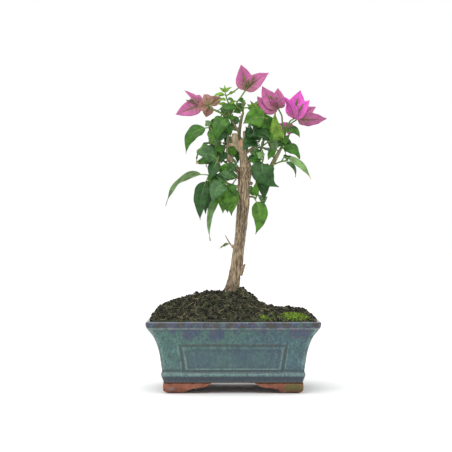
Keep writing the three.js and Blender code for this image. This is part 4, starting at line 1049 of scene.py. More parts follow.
# Each sample of a limb's middle: its place and radius, the limb's way there, how far along the
# limb it lies, the limb's number, how far its cut face reaches back, and how green it is
axes = []
for number, (name, points) in enumerate(WOOD.items()):
    samples = curve_through(points, SAMPLES_A_SPAN * (len(points) - 1))
    ways = np.gradient(samples[:, :3], axis=0)
    lengths = np.linalg.norm(ways, axis=1)
    ways /= lengths[:, None]
    marks = np.cumsum(lengths)
    cut = CUT_ENDS.get(name, 0)
    for i, sample in enumerate(samples):
        to_end = marks[-1] - marks[i]
        end = cut if cut and to_end < cut * 2 else 0
        axes.append([*sample, *ways[i], marks[i], number, end, GREEN.get(name, 0)])
axes = np.array(axes)

wood_bm.normal_update()
wood_points = np.array([vert.co for vert in wood_bm.verts])
wood_normals = np.array([vert.normal for vert in wood_bm.verts])
nearest = np.empty(len(wood_points), int)
for start in range(0, len(wood_points), CHUNK):
    part = wood_points[start : start + CHUNK]
    away = np.linalg.norm(part[:, None] - axes[None, :, :3], axis=2) - axes[None, :, 3]
    nearest[start : start + CHUNK] = away.argmin(1)
own = axes[nearest]
middle, radius, way, along_limb = own[:, :3], own[:, 3], own[:, 4:7], own[:, 7]
limb_number, cut_reach, greenness = own[:, 8], own[:, 9], own[:, 10]
print("samples along the limbs", len(axes))

# %% Furrows, knots and sawn ends
# A saw mark on the trunk's front: its middle and its half-widths
SAW_MARK, SAW_SIZE = (8.6, -3, 261.5), (2.6, 5, 4)
SQUEEZE, OLD_WOOD_TOP, WOOD_LOW = 0.13, 236, 102.8

sideways = wood_points - middle
girth = np.maximum(radius, 1)
# Noise in a space squeezed along the limb gives long furrows that need no seam
flat = sideways - way * (sideways * way).sum(1)[:, None]
stretched = flat + way * (along_limb * SQUEEZE)[:, None] + limb_number[:, None] * 17
ridge = 1 - 2.4 * np.abs(rough(stretched, 3.1))
fine = 1 - 2 * np.abs(rough(stretched + 31, 1.05))
crack = 1 - soft_step(np.abs(rough(stretched + 11, 1.75)), 0.02, 0.2)
knots = rough(wood_points, 9)
coarse = np.where(wood_points[:, 2] < OLD_WOOD_TOP, 1, 0.45) * np.where(limb_number == 0, 1, 0.5)
amplitude = np.minimum(girth, 6) / 6 * coarse
end_face = (wood_normals * way).sum(1)
cut = soft_step(end_face, 0.55, 0.85) * (cut_reach > 0)
from_saw = np.linalg.norm((wood_points - SAW_MARK) / SAW_SIZE, axis=1)
cut = np.maximum(cut, (1 - soft_step(from_saw, 0.75, 1)) * soft_step(-wood_normals[:, 1], 0.1, 0.5))
lift = amplitude * (0.45 * ridge + 0.25 * fine - 0.75 * crack + 0.1 + 0.4 * knots) * (1 - cut)
flare = soft_step(-wood_points[:, 2], -113, -103)
lift = lift + flare * 0.8 * np.maximum(0, rough(wood_points * (1, 1, 0.3), 4))
wood_points = wood_points + wood_normals * lift[:, None]
wood_points[:, 2] = np.maximum(wood_points[:, 2], WOOD_LOW)
furrow = crack * np.clip(coarse, 0.35, 1)
green = soft_step(greenness + 0.25 * rough(wood_points, 5), 0.1, 0.9)
layers = {name: wood_bm.verts.layers.float.new(name) for name in ("furrow", "cut", "coarse", "green")}
for vert, point, *values in zip(wood_bm.verts, wood_points, furrow, cut, coarse, green):
    vert.co = point
    for layer, value in zip(layers.values(), values):
        vert[layer] = value
for face in wood_bm.faces:
    face.smooth = True
print("furrows move the bark by", round(float(lift.min()), 2), "to", round(float(lift.max()), 2), "mm")

# %% Bark
bark = Finish("bark_grey_brown", 0.85)
patch = bark.noise(7, (1, 1, 0.4), detail=4, roughness=0.65)
thread = bark.noise(1.1, (1, 1, 0.12), detail=4, roughness=0.7)
fissure = bark.noise(1.6, (1, 1, 0.08), detail=2)
dust = bark.noise(0.6, detail=3, roughness=0.8)
skin = bark.mix(bark.step(patch, 0.38, 0.64), colour(136, 118, 92), colour(178, 160, 130))
skin = bark.mix(bark.step(thread, 0.48, 0.62) * 0.65, skin, colour(108, 90, 68))
skin = bark.mix(bark.step(fissure, 0.54, 0.6) * bark.painted("coarse") * 0.8, skin, colour(74, 58, 44))
skin = bark.mix(bark.painted("furrow") * 0.75, skin, colour(74, 58, 44))
skin = bark.mix(bark.step(0.46 - thread, 0, 0.08) * 0.5, skin, colour(196, 180, 152))
olive = bark.mix(bark.step(patch, 0.36, 0.6), colour(96, 96, 58), colour(134, 136, 92))
skin = bark.mix(bark.painted("green") * 0.85, skin, olive)
stain = (1 - bark.step(bark.axis("Z"), 104, 124)) * bark.step(patch + thread * 0.5, 0.6, 0.8)
skin = bark.mix(stain * 0.85, skin, colour(68, 52, 38))
skin = bark.mix(bark.step(dust, 0.6, 0.74) * 0.3, skin, colour(190, 176, 152))
ring = bark.sine(bark.noise(2.4, detail=1) * 26)
sawn = bark.mix(bark.step(ring, -0.4, 0.9), colour(190, 158, 124), colour(164, 122, 92))
skin = bark.mix(bark.painted("cut"), skin, sawn)
bark.set(Base_Color=skin, Normal=bark.bump(thread * 0.7 + dust * 0.3, 0.4, 0.6))
make_piece("wood_trunk_limbs", wood_bm, [bark], ["trunk", *LIMBS])

# %% [markdown]
# Leaves, bracts and flowers follow the same rows as the CAD model: where each stem starts, where
# its leaves leave it, how they reach, arch and turn. One letter for each leaf tells its tone, since
# age gives each one its own green and the tones also paint in the light and shade that fall on it:
# bright, mid, deep, grey, pale or young, and x and w stand for a pale and a bright leaf with a dry tip.

# %% The crown's rows
SKY = [0, -0.35, 1]
HALFWAY = [0, -0.8, 0.6]
FRONT = [0, -1, 0.25]


def leaf(at, to, wide, sag, face=FRONT, **more):
    """A leaf: its part of the way along the stem or twig, its reach, its width, how far it arches
    as a share of its length, and the way that its upper side looks."""
    return dict(at=at, to=to, wide=wide, sag=sag, face=face, **more)


def bract(to, wide, sag, face=FRONT, **more):
    """A bract, which starts at the end of its twig and is given like a leaf."""
    return dict(to=to, wide=wide, sag=sag, face=face, **more)


# A mass has a stem, the leaves and flowers that are placed on it, and a space for the rule to fill,
# with the number of twigs it tries, the heading of the first in degrees, and the seed of its draws
MASSES = [
    dict(
        name="foliage_left_low", tones="pddbm", seed=11, twigs=2, heading=80,
        stem=dict(
            path=[[-8.6, -5.4, 228.8], [-17, -8, 227.6], [-23.5, -10, 228.4], [-26.4, -11, 226.2]],
            r=[1.1, 0.8],
        ),
        leaves=[
            leaf(0.82, [-46, -9, -33], 14, 0.25, SKY, roll=52),
            leaf(0.98, [-8.6, -3, -46.4], 17, 0.06, bow=0.05),
            leaf(0.9, [-3.4, 8, -40], 16, 0.06),
            leaf(0.1, [2.6, -4, 11.4], 8.6, 0.1),
            leaf(0.3, [-9, -7, -12], 10, 0.14),
        ],
        space=dict(centre=[-24, 14, 220], radii=[24, 30, 30]),
    ),
    dict(
        name="foliage_left_mid", tones="gwdmpbm", seed=23, twigs=3, heading=95,
        stem=dict(
            path=[
                [-17, 0, 247.8], [-17.6, -2, 257], [-18.2, -3, 267], [-21.4, -4, 275],
                [-24.6, -5, 279.2],
            ],
            r=[1.1, 0.7],
        ),
        twigs_placed=[
            dict(at=0.12, path=[[-15.4, -7, 247], [-16.4, -10, 243.4]], r=[0.9, 0.7]),
        ],
        leaves=[
            leaf(0.9, [-22.5, -7, 4.5], 20, 0.16, [0, -0.95, 0.45], twig=0),
            leaf(0.02, [-22.5, -3, -8], 13, -0.02, HALFWAY),
            leaf(1, [-7.5, -6, -21], 13.5, 0.08, twig=0),
            leaf(0.95, [-26, -7, -28.5], 16, 0.27, HALFWAY),
            leaf(1, [-5, 3, 6.5], 8, 0.1),
            leaf(0.93, [-0.6, -8, -19], 11, 0.12, bow=-0.1),
            leaf(0.3, [6, -9, -9.5], 10.5, 0.15),
        ],
        space=dict(centre=[-26, 18, 258], radii=[26, 32, 34]),
    ),
    dict(
        name="foliage_left_hang", tones="gpbbmg", seed=31, twigs=1, heading=70,
        stem=dict(path=[[-4.4, -9.9, 218.5], [-7, -12, 219.6], [-10.4, -14, 220.6]], r=[1, 0.8]),
        leaves=[
            leaf(0.2, [-16.2, -13, -22.5], 19, 0.26, HALFWAY),
            leaf(0.1, [-19.5, 6, -61], 11, 0.04, [-0.6, -0.8, 0.1], bow=0.16),
            leaf(0.05, [-1.5, -4, -31], 23, 0.06),
            leaf(0.1, [3.4, -3, -34], 18, 0.08),
            leaf(0.14, [8.6, -6, -14], 8, 0.12),
            leaf(0.3, [-14, -2, 8], 11.5, 0.16),
        ],
        space=dict(centre=[-14, 8, 206], radii=[20, 26, 24]),
    ),
    dict(
        name="foliage_left_upright", tones="gbm", seed=43, twigs=2, heading=110,
        stem=dict(path=[[-5.05, 4, 273.6], [-6, 4, 279], [-8, 3, 283]], r=[0.9, 0.7]),
        leaves=[
            leaf(0.2, [-10, -15, -15], 9, 0.12, HALFWAY),
            leaf(0.55, [-10, -3, -9], 11.5, 0.2),
            leaf(0.9, [5, -6, -13], 10, 0.12),
        ],
        space=dict(centre=[-12, 20, 272], radii=[22, 30, 26]),
    ),
    dict(
        name="foliage_left_top", tones="myyyyyy", seed=57, twigs=2, heading=85,
        stem=dict(
            path=[
                [-1.7, 0.9, 287], [-4.4, -1, 292], [-4.6, -1, 303], [-7.2, -1, 311.4], [-8.4, -1, 316],
            ],
            r=[1.1, 0.6],
        ),
        twigs_placed=[
            dict(at=0.08, path=[[-13, -5, 293.6], [-22, -6, 298], [-25.5, -3, 303]], r=[0.8, 0.7]),
            dict(at=0.08, path=[[-14, 4, 295.6], [-24, 6, 300], [-34.6, 4, 303.4]], r=[0.8, 0.7]),
            dict(at=0.8, path=[[-1, -3, 316], [5.8, -4, 320.6]], r=[0.7, 0.7]),
        ],
        leaves=[
            leaf(0.05, [-15, -14, -27], 18.5, 0.34, HALFWAY),
            leaf(0.95, [7, -2, 6.6], 3.4, 0.15),
            leaf(1, [-0.6, 0, 8], 3, 0.1),
            leaf(0.97, [-6.6, 1, 6], 3.4, 0.1),
            leaf(0.78, [-14.4, -3, -1.6], 4.6, 0.22, HALFWAY),
            leaf(0.62, [-11.5, -5, -1.4], 4.4, 0.16, HALFWAY),
            leaf(0.2, [7.4, -3, 2.4], 3.4, 0.1, twig=2),
        ],
        flowers=[
            dict(
                twig=0, tone="faded",
                bracts=[
                    bract([-5, 8, 12], 13, 0.06),
                    bract([-14.5, 7, -3.5], 13, 0.04),
                    bract([-3.6, 9, -12.6], 13, 0),
                    bract([14, 9, 7.6], 12, 0.08),
                ],
                tubes=[[-5, 12, 3]],
            ),
            dict(
                twig=1, tone="pink",
                bracts=[
                    bract([-26.5, -8, -11], 18, 0),
                    bract([-15, 10, 3], 20, 0.04),
                    bract([-17.4, 0, 15.4], 9, 0.04, SKY, roll=-22),
                ],
                tubes=[[-15.5, -5, 4.6], [-11, -4, 6]],
            ),
        ],
        space=dict(centre=[-14, 20, 290], radii=[26, 30, 26]),
    ),
    dict(
        name="foliage_top", tones="mmyyym", seed=61, twigs=2, heading=90,
        stem=dict(path=[[10.55, 0.9, 295.6], [11, -1, 302], [12.6, -1, 308]], r=[1.2, 0.8]),
        twigs_placed=[
            dict(at=0.02, path=[[3.6, -3, 303], [9, -3, 312], [13, -2, 318]], r=[0.9, 0.8]),
            dict(at=0.3, path=[[17, -1, 300], [22.6, -2, 298.6]], r=[0.8, 0.7]),
        ],
        leaves=[
            leaf(0.12, [-24, -6, -2], 10, 0.15, HALFWAY, twig=0),
            leaf(0.9, [-7, -3, 0], 6, 0.12),
            leaf(0.95, [-3.8, -1, 8.6], 3.6, 0.1, twig=1),
            leaf(1, [4.4, -1, 9], 3.8, 0.1, twig=1),
            leaf(1, [8, 2, 3], 3.6, 0.1, twig=1),
            leaf(0.3, [10, -5, -3.5], 8, 0.16, HALFWAY, twig=1),
        ],
        flowers=[
            dict(
                twig=0, tone="pink",
                bracts=[
                    bract([-4.6, -1, 27.6], 19, -0.06, bow=0.07),
                    bract([25, 2, 19], 17, 0.05),
                    bract([2, 18, 16], 17, 0.1, SKY, roll=180),
                ],
                tubes=[[-1.4, -3, 17], [3.4, -2, 12], [10.4, -2, 15]],
            ),
        ],
        space=dict(centre=[12, 22, 296], radii=[22, 30, 26]),
    ),
    dict(
        name="foliage_right_inner", tones="mddmmm", seed=71, twigs=2, heading=80,
        stem=dict(
            path=[[27.3, 4.9, 263.5], [30.6, 2, 270], [30.4, -2, 277], [27, -5, 284]],
            r=[1.2, 0.8],
        ),
        leaves=[
            leaf(0.5, [-13, -9, 20], 15, 0.06, bow=-0.04),
            leaf(0.16, [-16, -15, 3], 19, 0.16, HALFWAY),
            leaf(0.02, [-17, -16, -10], 17, 0.2),
            leaf(0.95, [5, -3, 13], 14, 0.1),
            leaf(0.3, [12, -14, -8], 13, 0.2),
            leaf(0.8, [9, 4, -7], 11, 0.1),
        ],
        space=dict(centre=[28, 20, 276], radii=[26, 32, 28]),
    ),
    dict(
        name="foliage_right_outer", tones="ymmmd", seed=83, twigs=2, heading=100,
        stem=dict(
            path=[[50.9, 4.9, 255.8], [53.8, 4, 262], [55.4, 3, 269], [56.4, 2, 280]],
            r=[1.7, 1],
        ),
        twigs_placed=[
            dict(at=0.7, path=[[52.8, 0, 284], [52, -2, 291], [48.2, -3, 299]], r=[0.9, 0.8]),
            dict(at=0.75, path=[[60, -3, 284], [64.6, -5, 287.6]], r=[0.9, 0.8]),
            dict(at=0.98, path=[[63, 4, 284], [69, 5, 288]], r=[0.8, 0.8]),
            dict(at=0.85, path=[[56, 10, 280], [57, 16, 279]], r=[0.8, 0.8]),
        ],
        leaves=[
            leaf(0.25, [-8.6, -24, 33], 13.5, -0.06, [0.1, -1, -0.4], bow=0.06),
            leaf(0.03, [20, -8, -11.4], 14, 0.25, HALFWAY),
            leaf(0.9, [15.4, -7, -9], 11, 0.22, HALFWAY),
            leaf(0.6, [2.4, 3, -12], 7, 0.12),
            leaf(0.4, [-6, -12, -6], 9, 0.1),
        ],
        flowers=[
            dict(
                twig=0, tone="pink",
                bracts=[
                    bract([-16.9, 4, 23.8], 18, -0.06),
                    bract([0, 8, 22.4], 16, -0.06),
                    bract([-4, -12, 9], 17, 0.06, SKY),
                    bract([-22.3, 2, 13], 18, -0.14),
                    bract([-27.5, 5, 6], 13, -0.1),
                ],
                tubes=[[-9.6, -3, 14], [-2, -3, 12]],
            ),
            dict(
                twig=1, tone="bright",
                bracts=[
                    bract([7.4, 6, 31], 22, -0.06, bow=-0.03),
                    bract([-10.6, -4, 23], 15, 0.1, SKY, roll=64),
                    bract([17.4, 6, 20.5], 14, 0.03),
                ],
                tubes=[[3.4, -2, 21], [10, -2, 16]],
            ),
            dict(
                twig=2, tone="pink",
                bracts=[
                    bract([31.2, -3, 0.7], 21, -0.03, SKY, roll=-62),
                    bract([20.5, 10, 14], 13, 0.05),
                    bract([8, 18, 8], 14, 0.1, SKY),
                ],
                tubes=[[10, 6, 10]],
            ),
            dict(
                twig=3, tone="pink",
                bracts=[
                    bract([10, 4, -4], 13, 0.1),
                    bract([-7, 10, 6], 13, 0),
                    bract([2, 15, 5], 13, 0, SKY, roll=180),
                ],
                tubes=[[2, 9, 2]],
            ),
        ],
        space=dict(centre=[52, 24, 272], radii=[26, 32, 30]),
    ),
    dict(
        name="foliage_right_arm", tones="xgm", seed=97, twigs=1, heading=60,
        stem=dict(path=[[44.9, 3, 240], [50, 1, 242], [58.6, -1, 243.8]], r=[0.9, 0.8]),
        twigs_placed=[
            dict(at=0.6, path=[[53.6, -2, 245.6], [55, -3, 248]], r=[0.8, 0.7]),
        ],
        leaves=[
            leaf(0.9, [28, -8, -24.4], 9, 0.13, HALFWAY, twig=0),
            leaf(0.7, [13.6, 2, -17], 4.5, 0.26, SKY, roll=70),
            leaf(0.85, [9, 13, 3], 12, 0.2, SKY),
        ],
        space=dict(centre=[54, 20, 246], radii=[24, 30, 24]),
    ),
    dict(
        name="foliage_right_low", tones="ddmp", seed=103, twigs=1, heading=100,
        stem=dict(path=[[30, 2.4, 237.4], [31, -4, 241], [32.4, -9, 246]], r=[1, 0.9]),
        leaves=[
            leaf(0.95, [16, -6, -30.6], 25, 0.06, bow=0.36),
            leaf(0.1, [3.4, -3, -37], 16.5, 0.04),
            leaf(0.5, [-14, -6, 1], 11, 0.12),
            leaf(0.9, [-8, -3, 6], 9, 0.12),
        ],
        space=dict(centre=[34, 16, 226], radii=[18, 30, 28]),
    ),
    dict(
        name="foliage_right_hang", tones="bmb", seed=113, twigs=1, heading=70,
        stem=dict(path=[[17.7, -1.4, 205], [21.4, -4, 204.4], [24.6, -6, 202.6]], r=[1.1, 0.9]),
        leaves=[
            leaf(0.6, [1.6, -6, -39], 17, 0.08, bow=-0.14),
            leaf(0.4, [-1.5, -3, 12], 7, 0.1),
            leaf(0.6, [2, -3, 17], 8, 0.14, bow=0.16),
        ],
        space=dict(centre=[26, 14, 204], radii=[14, 28, 24]),
    ),
    dict(
        name="foliage_back_left", tones="", seed=127, twigs=9, heading=40,
        stem=dict(
            path=[[-6.3, 23.3, 241.3], [-12, 28, 247], [-15, 31, 259], [-13, 31, 272]],
            r=[1.2, 0.8],
        ),
        leaves=[],
        space=dict(centre=[-17, 30, 250], radii=[30, 34, 44]),
    ),
    dict(
        name="foliage_back_right", tones="", seed=131, twigs=9, heading=-10,
        stem=dict(
            path=[[26.3, 22.3, 251.3], [31, 27, 258], [34, 29, 268], [36, 28, 282]],
            r=[1.2, 0.8],
        ),
        leaves=[],
        space=dict(centre=[36, 30, 262], radii=[28, 34, 38]),
    ),
    dict(
        name="foliage_back_low", tones="", seed=139, twigs=5, heading=20,
        stem=dict(path=[[14.05, 19.4, 212.2], [12, 26, 214], [7, 31, 216], [-2, 33, 217]], r=[1, 0.8]),
        leaves=[],
        space=dict(centre=[2, 28, 206], radii=[24, 32, 26]),
    ),
]

SPUR = dict(
    path=[[-1.6, -1.05, 152.6], [-4.6, -2, 157], [-8.2, -3, 163.6]],
    r=[0.9, 0.5],
    leaf=leaf(0.25, [-11, -2, -5], 6, 0.1, SKY, roll=50),
)
print(len(MASSES), "masses,", sum(len(mass["leaves"]) for mass in MASSES), "placed leaves")

# %% A blade's midline
TEST_ALONG = [0.24, 0.4, 0.56, 0.72, 0.86, 1]
TEST_ACROSS = [-0.9, -0.45, 0, 0.45, 0.9]


def seeded_random(seed):
    """Numbers from 0 to 1 that are the same for a seed here and in the CAD model's source."""
    state, whole = seed, 0xFFFFFFFF

    def draw():
        nonlocal state
        state = (state + 0x6D2B79F5) & whole
        mixed = ((state ^ (state >> 15)) * (1 | state)) & whole
        mixed = ((mixed + (((mixed ^ (mixed >> 7)) * (61 | mixed)) & whole)) & whole) ^ mixed
        return (mixed ^ (mixed >> 14)) / 4294967296

    return draw


def curve_at(points, part):
    """The point a given part of the way along the smooth curve."""
    points = [np.array(point[:3], float) for point in points]
    i = min(int(part * (len(points) - 1)), len(points) - 2)
    t = part * (len(points) - 1) - i
    padded = [2 * points[0] - points[1], *points, 2 * points[-1] - points[-2]]
    return spline(*padded[i : i + 4], t)


def unit(vector):
    return vector / np.linalg.norm(vector)


class Blade:
    """A leaf's or bract's midline and the way that its upper side looks."""

    def __init__(self, foot, to, wide, sag=0, bow=0, face=SKY, roll=0):
        self.foot, self.reach, self.wide = np.array(foot, float), np.array(to, float), wide
        self.length = np.linalg.norm(self.reach)
        chord = self.chord = self.reach / self.length
        up = self.square(SKY)
        side = np.cross(chord, up)
        self.bend = sag * up + bow * side
        normal = self.square(face)
        turn = math.radians(roll)
        self.normal = normal * math.cos(turn) + np.cross(chord, normal) * math.sin(turn)

    def square(self, way):
        way = np.array(way, float)
        return unit(way - self.chord * (way @ self.chord))

    def midline(self, along):
        along = np.asarray(along, float)[..., None]
        return self.foot + self.reach * along + self.bend * (4 * along * (1 - along) * self.length)

    def tangent(self, along):
        along = np.asarray(along, float)[..., None]
        way = self.reach + self.bend * (4 * (1 - 2 * along) * self.length)
        return way / np.linalg.norm(way, axis=-1, keepdims=True)

    def frame_at(self, along):
        """The way across the blade and the way its upper side looks, at places along it."""
        way = self.tangent(along)
        facing = self.normal - way * (way @ self.normal)[:, None]
        facing /= np.linalg.norm(facing, axis=1)[:, None]
        return np.cross(way, facing), facing

    def test_points(self):
        """Points over the blade, in rows across it."""
        across = np.cross(self.chord, self.normal)
        rows = []
        for along in TEST_ALONG:
            half = self.wide / 2 * math.sin(math.pi * along**0.8)
            rows += [self.midline(along) + across * half * part for part in TEST_ACROSS]
        return np.array(rows)


print("a blade is tested at", len(TEST_ALONG) * len(TEST_ACROSS), "points")

# %% [markdown]
# The back of the crown is filled by a rule: twigs leave a mass's stem by the golden angle, leaves
# leave the twigs by it, and each is kept only where it is free of the limbs and of what has grown.

# %% The rule that fills the crown
GOLDEN_ANGLE = math.radians(137.5)
RULE_LEAF_LENGTH, RULE_LEAF_WIDTH, RULE_LEAVES_A_TWIG = 28, 15, 5
LIMB_CLEARANCE, SPACING = 1.5, 2.4


def limb_balls():
    """Balls along every limb, to keep twigs and leaves off them."""
    centres, sizes = [], []
    for points in [TRUNK, *LIMBS.values()]:
        steps = (len(points) - 1) * 4
        for i in range(steps + 1):
            along = i / steps * (len(points) - 1)
            k = min(int(along), len(points) - 2)
            centres.append(curve_at(points, i / steps))
            sizes.append(points[k][3] + (points[k + 1][3] - points[k][3]) * (along - k) + LIMB_CLEARANCE)
    return np.array(centres), np.array(sizes)


BALL_CENTRES, BALL_SIZES = limb_balls()


def all_free(points, space, taken):
    """True where every point is inside the space, off the limbs and off what has grown."""
    points = np.atleast_2d(points)
    part = (points - np.array(space["centre"])) / np.array(space["radii"])
    if ((part**2).sum(1) >= 1).any():
        return False
    if (np.linalg.norm(points[:, None] - BALL_CENTRES, axis=2) < BALL_SIZES).any():
        return False
    return bool((np.linalg.norm(points[:, None] - np.array(taken)[None], axis=2) > SPACING).all())


def placed_twigs(mass):
    """The stem of a mass and the twigs that are placed on it, each as its points and radii."""
    stem = mass["stem"]
    twigs = []
    for twig in mass.get("twigs_placed", []):
        twigs.append(dict(path=[curve_at(stem["path"], twig["at"]), *twig["path"]], r=twig["r"]))
    return [stem, *twigs]


def placed_blades(mass):
    """The leaves and the flowers of a mass, each on its own foot."""
    stem, *twigs = placed_twigs(mass)
    leaves, flowers = [], []
    for row in mass["leaves"]:
        shape = dict(row)
        holder = twigs[shape.pop("twig")] if "twig" in row else stem
        leaves.append(Blade(curve_at(holder["path"], shape.pop("at")), **shape))
    for flower in mass.get("flowers", []):
        foot = curve_at(twigs[flower["twig"]]["path"], 1)
        bracts = [Blade(foot, **row) for row in flower["bracts"]]
        flowers.append(dict(foot=foot, bracts=bracts, tubes=flower["tubes"], tone=flower["tone"]))
    return leaves, flowers


def grow_by_rule(mass, taken):
    """Twigs that turn by the golden angle along the stem, and leaves that turn by it along them."""
    draw = seeded_random(mass["seed"])
    twigs, leaves = [], []
    for i in range(mass["twigs"]):
        foot = curve_at(mass["stem"]["path"], (i + 0.9) / mass["twigs"])
        heading = math.radians(mass["heading"]) + i * GOLDEN_ANGLE + 0.5 * (draw() - 0.5)
        rise = 0.15 + 0.5 * draw()
        length = mass["space"]["radii"][1] * (0.45 + 0.3 * draw())
        out = unit(np.array([math.cos(heading), math.sin(heading), rise]))
        path = [foot, foot + out * length * 0.5, foot + out * length + np.array([0, 0, -length * 0.15])]
        marks = [curve_at(path, part) for part in (0.3, 0.5, 0.7, 0.85, 1)]
        if not all_free(marks, mass["space"], taken):
            continue
        twigs.append(dict(path=path, r=[0.9, 0.6]))
        for k in range(RULE_LEAVES_A_TWIG):
            root = curve_at(path, 0.3 + 0.7 * k / (RULE_LEAVES_A_TWIG - 1))
            turn = heading + k * GOLDEN_ANGLE + 0.6 * (draw() - 0.5)
            size = 0.75 + 0.45 * draw()
            fall = 0.3 + 0.9 * draw()
            reach = unit(np.array([math.cos(turn), math.sin(turn), -fall])) * RULE_LEAF_LENGTH * size
            sag, roll = 0.14 + 0.14 * draw(), 50 * (draw() - 0.5)
            grown = Blade(root, reach, RULE_LEAF_WIDTH * size, sag, roll=roll)
            points = grown.test_points()
            if all_free(points, mass["space"], taken):
                leaves.append(grown)
                taken.extend(points)
        taken.extend(curve_at(path, part / 10) for part in range(11))
    return twigs, leaves


taken = []
for mass in MASSES:
    for twig in placed_twigs(mass):
        taken.extend(curve_through([point[:3] for point in twig["path"]], len(twig["path"]) * 4 + 1))
    leaves, flowers = placed_blades(mass)
    for flower in flowers:
        leaves += flower["bracts"]
    for blade in leaves:
        taken.extend(blade.test_points())

crown = {}
for mass in MASSES:
    leaves, flowers = placed_blades(mass)
    grown_twigs, grown_leaves = grow_by_rule(mass, taken)
    crown[mass["name"]] = dict(
        twigs=placed_twigs(mass) + grown_twigs, leaves=leaves, grown=grown_leaves, flowers=flowers
    )
print("grown", sum(len(part["grown"]) for part in crown.values()), "leaves by the rule")

# %% [markdown]
# Between the large leaves the real crown is closed by smaller ones on fine side twigs. Each is
# given by its foot and its reach, and a fine twig joins the foot to the nearest twig or limb.

# %% Small leaves on fine twigs
def fine_leaf(foot, to, wide, sag, tone, face=FRONT, bow=0):
    """A small leaf, given like the others but by its own foot and tone."""
    return dict(foot=foot, to=to, wide=wide, sag=sag, face=face, bow=bow), tone


FINE_LEAVES = [
    fine_leaf([31.4, -3, 254.7], [-8, -5, -11], 9, 0.14, "m"),
    fine_leaf([-2.1, 6, 246.6], [6, -4, 15], 11, 0.1, "b"),
    fine_leaf([-10.7, -1, 255.3], [-1.9, -5, -15.3], 12, 0.08, "d"),
    fine_leaf([0, -5, 239.6], [-8, -5, -11], 10, 0.14, "b"),
    fine_leaf([39.3, -6, 268.3], [-9.7, -8, 25], 17, 0.1, "m", bow=0.12),
    fine_leaf([41.4, -8, 263.9], [-25.6, -6, 3], 15, 0.26, "d", face=HALFWAY),
    fine_leaf([25, -4, 247.1], [-10.2, -4, -3.9], 7, 0.14, "d", face=HALFWAY),
    fine_leaf([51.3, 8, 267.6], [-5.6, 2, 12.4], 9, 0.1, "m"),
    fine_leaf([-12.9, 8, 289.6], [-10.7, -4, -22], 13, 0.14, "d"),
    fine_leaf([20.2, -2, 295.3], [-5.3, -3, 8.2], 5, 0.12, "y"),
    fine_leaf([21.3, -2, 295.3], [7.4, -3, 6.1], 5, 0.12, "y"),
    fine_leaf([11.7, 9, 250], [-16, 2, 3], 12, 0.2, "d", face=HALFWAY),
    fine_leaf([44.9, 0, 254.8], [-7.7, -6, -11], 8, 0.12, "m"),
    fine_leaf([54.6, 3, 259.3], [6.3, -3, 12.6], 7, 0.1, "b"),
    fine_leaf([37, -13, 287.5], [-26.5, -6, -6], 23, 0.14, "b", face=[0, -1, 0.2]),
    fine_leaf([32, -5, 289], [-17.5, -8, 3], 12, 0.14, "y", face=[0, -0.7, 0.75]),
    fine_leaf([-4.6, -1.5, 301], [-13, -4, 2.5], 4.5, 0.1, "y"),
    fine_leaf([-4.6, -1.5, 302], [9.5, -4, 4.5], 4, 0.14, "y"),
    fine_leaf([-6.5, -1.5, 309.5], [8, -3, -3.5], 3.6, 0.12, "m"),
    fine_leaf([-8, -1.5, 314], [-8.5, -3, -3], 3.2, 0.1, "y"),
    fine_leaf([7.5, 5, 291], [-9.7, -2, -12.7], 9, 0.1, "g"),
    fine_leaf([12, 1, 300], [-6, -2, -4], 5, 0.1, "m"),
    fine_leaf([8.5, 1, 296.5], [-8.5, -3, -2], 6, 0.1, "m"),
    fine_leaf([0, 0, 293], [-2, -3, -9], 6, 0.1, "m"),
    fine_leaf([16.5, 3, 268], [-3, -3, 12], 7, 0.1, "d"),
    fine_leaf([-15, -6, 212], [-4, -4, -20], 10, 0.1, "b"),
    fine_leaf([-6, -11, 214], [-5, -3, -27], 15, 0.06, "b"),
    fine_leaf([3.5, -10, 223], [-22, -4, 4.6], 13, 0.14, "g", face=HALFWAY),
    fine_leaf([5, -6, 238], [-12, -5, -9], 10, 0.12, "d"),
    fine_leaf([5, -7, 229], [-11.5, -4, -8], 9.5, 0.12, "d"),
]

holders = [curve_through([point[:3] for point in limb], 40) for limb in (TRUNK, *LIMBS.values())]
for part in crown.values():
    holders += [curve_through([point[:3] for point in twig["path"]], 20) for twig in part["twigs"]]
holders = np.vstack(holders)
fine_twigs, fine_leaves = [], []
for shape, tone in FINE_LEAVES:
    foot = np.array(shape["foot"], float)
    near = holders[np.linalg.norm(holders - foot, axis=1).argmin()]
    middle = (near + foot) / 2 + np.array([0, 0, 0.12 * np.linalg.norm(foot - near)])
    fine_twigs.append(dict(path=[near, middle, foot], r=[0.8, 0.55]))
    fine_leaves.append((Blade(**shape), tone))
lengths = [np.linalg.norm(twig["path"][0] - twig["path"][2]) for twig in fine_twigs]
print("fine twigs, longest", round(max(lengths), 1))

# %% [markdown]
# A bougainvillea leaf is an oval with a drawn-out tip, folded a little along its midrib, with
# side veins that quilt the blade between them and an edge that waves. Its stalk and midrib are
# thin tubes, so they stand out below. A sheet bent from a small grid and thickened by a Solidify
# modifier gives the upper and the under side their own finishes.

# %% Leaf and bract shapes
LEAF_GRID, BRACT_GRID = (8, 22), (10, 18)
LEAF_FOLD, BRACT_FOLD = 0.24, 0.2
PETIOLE, MIDRIB_END, MIDRIB_ROWS = 0.13, 0.86, 9


def leaf_outline(along):
    """Half width of a leaf, as a share of its widest, from stalk to tip."""
    part = np.clip((along - PETIOLE) / (1 - PETIOLE), 0, 1)
    return part**0.6 * (1 - part) ** 1.3 / 0.305


def bract_outline(along):
    """Half width of a bract, rounder at its foot."""
    return along**0.5 * (1 - along) / 0.385


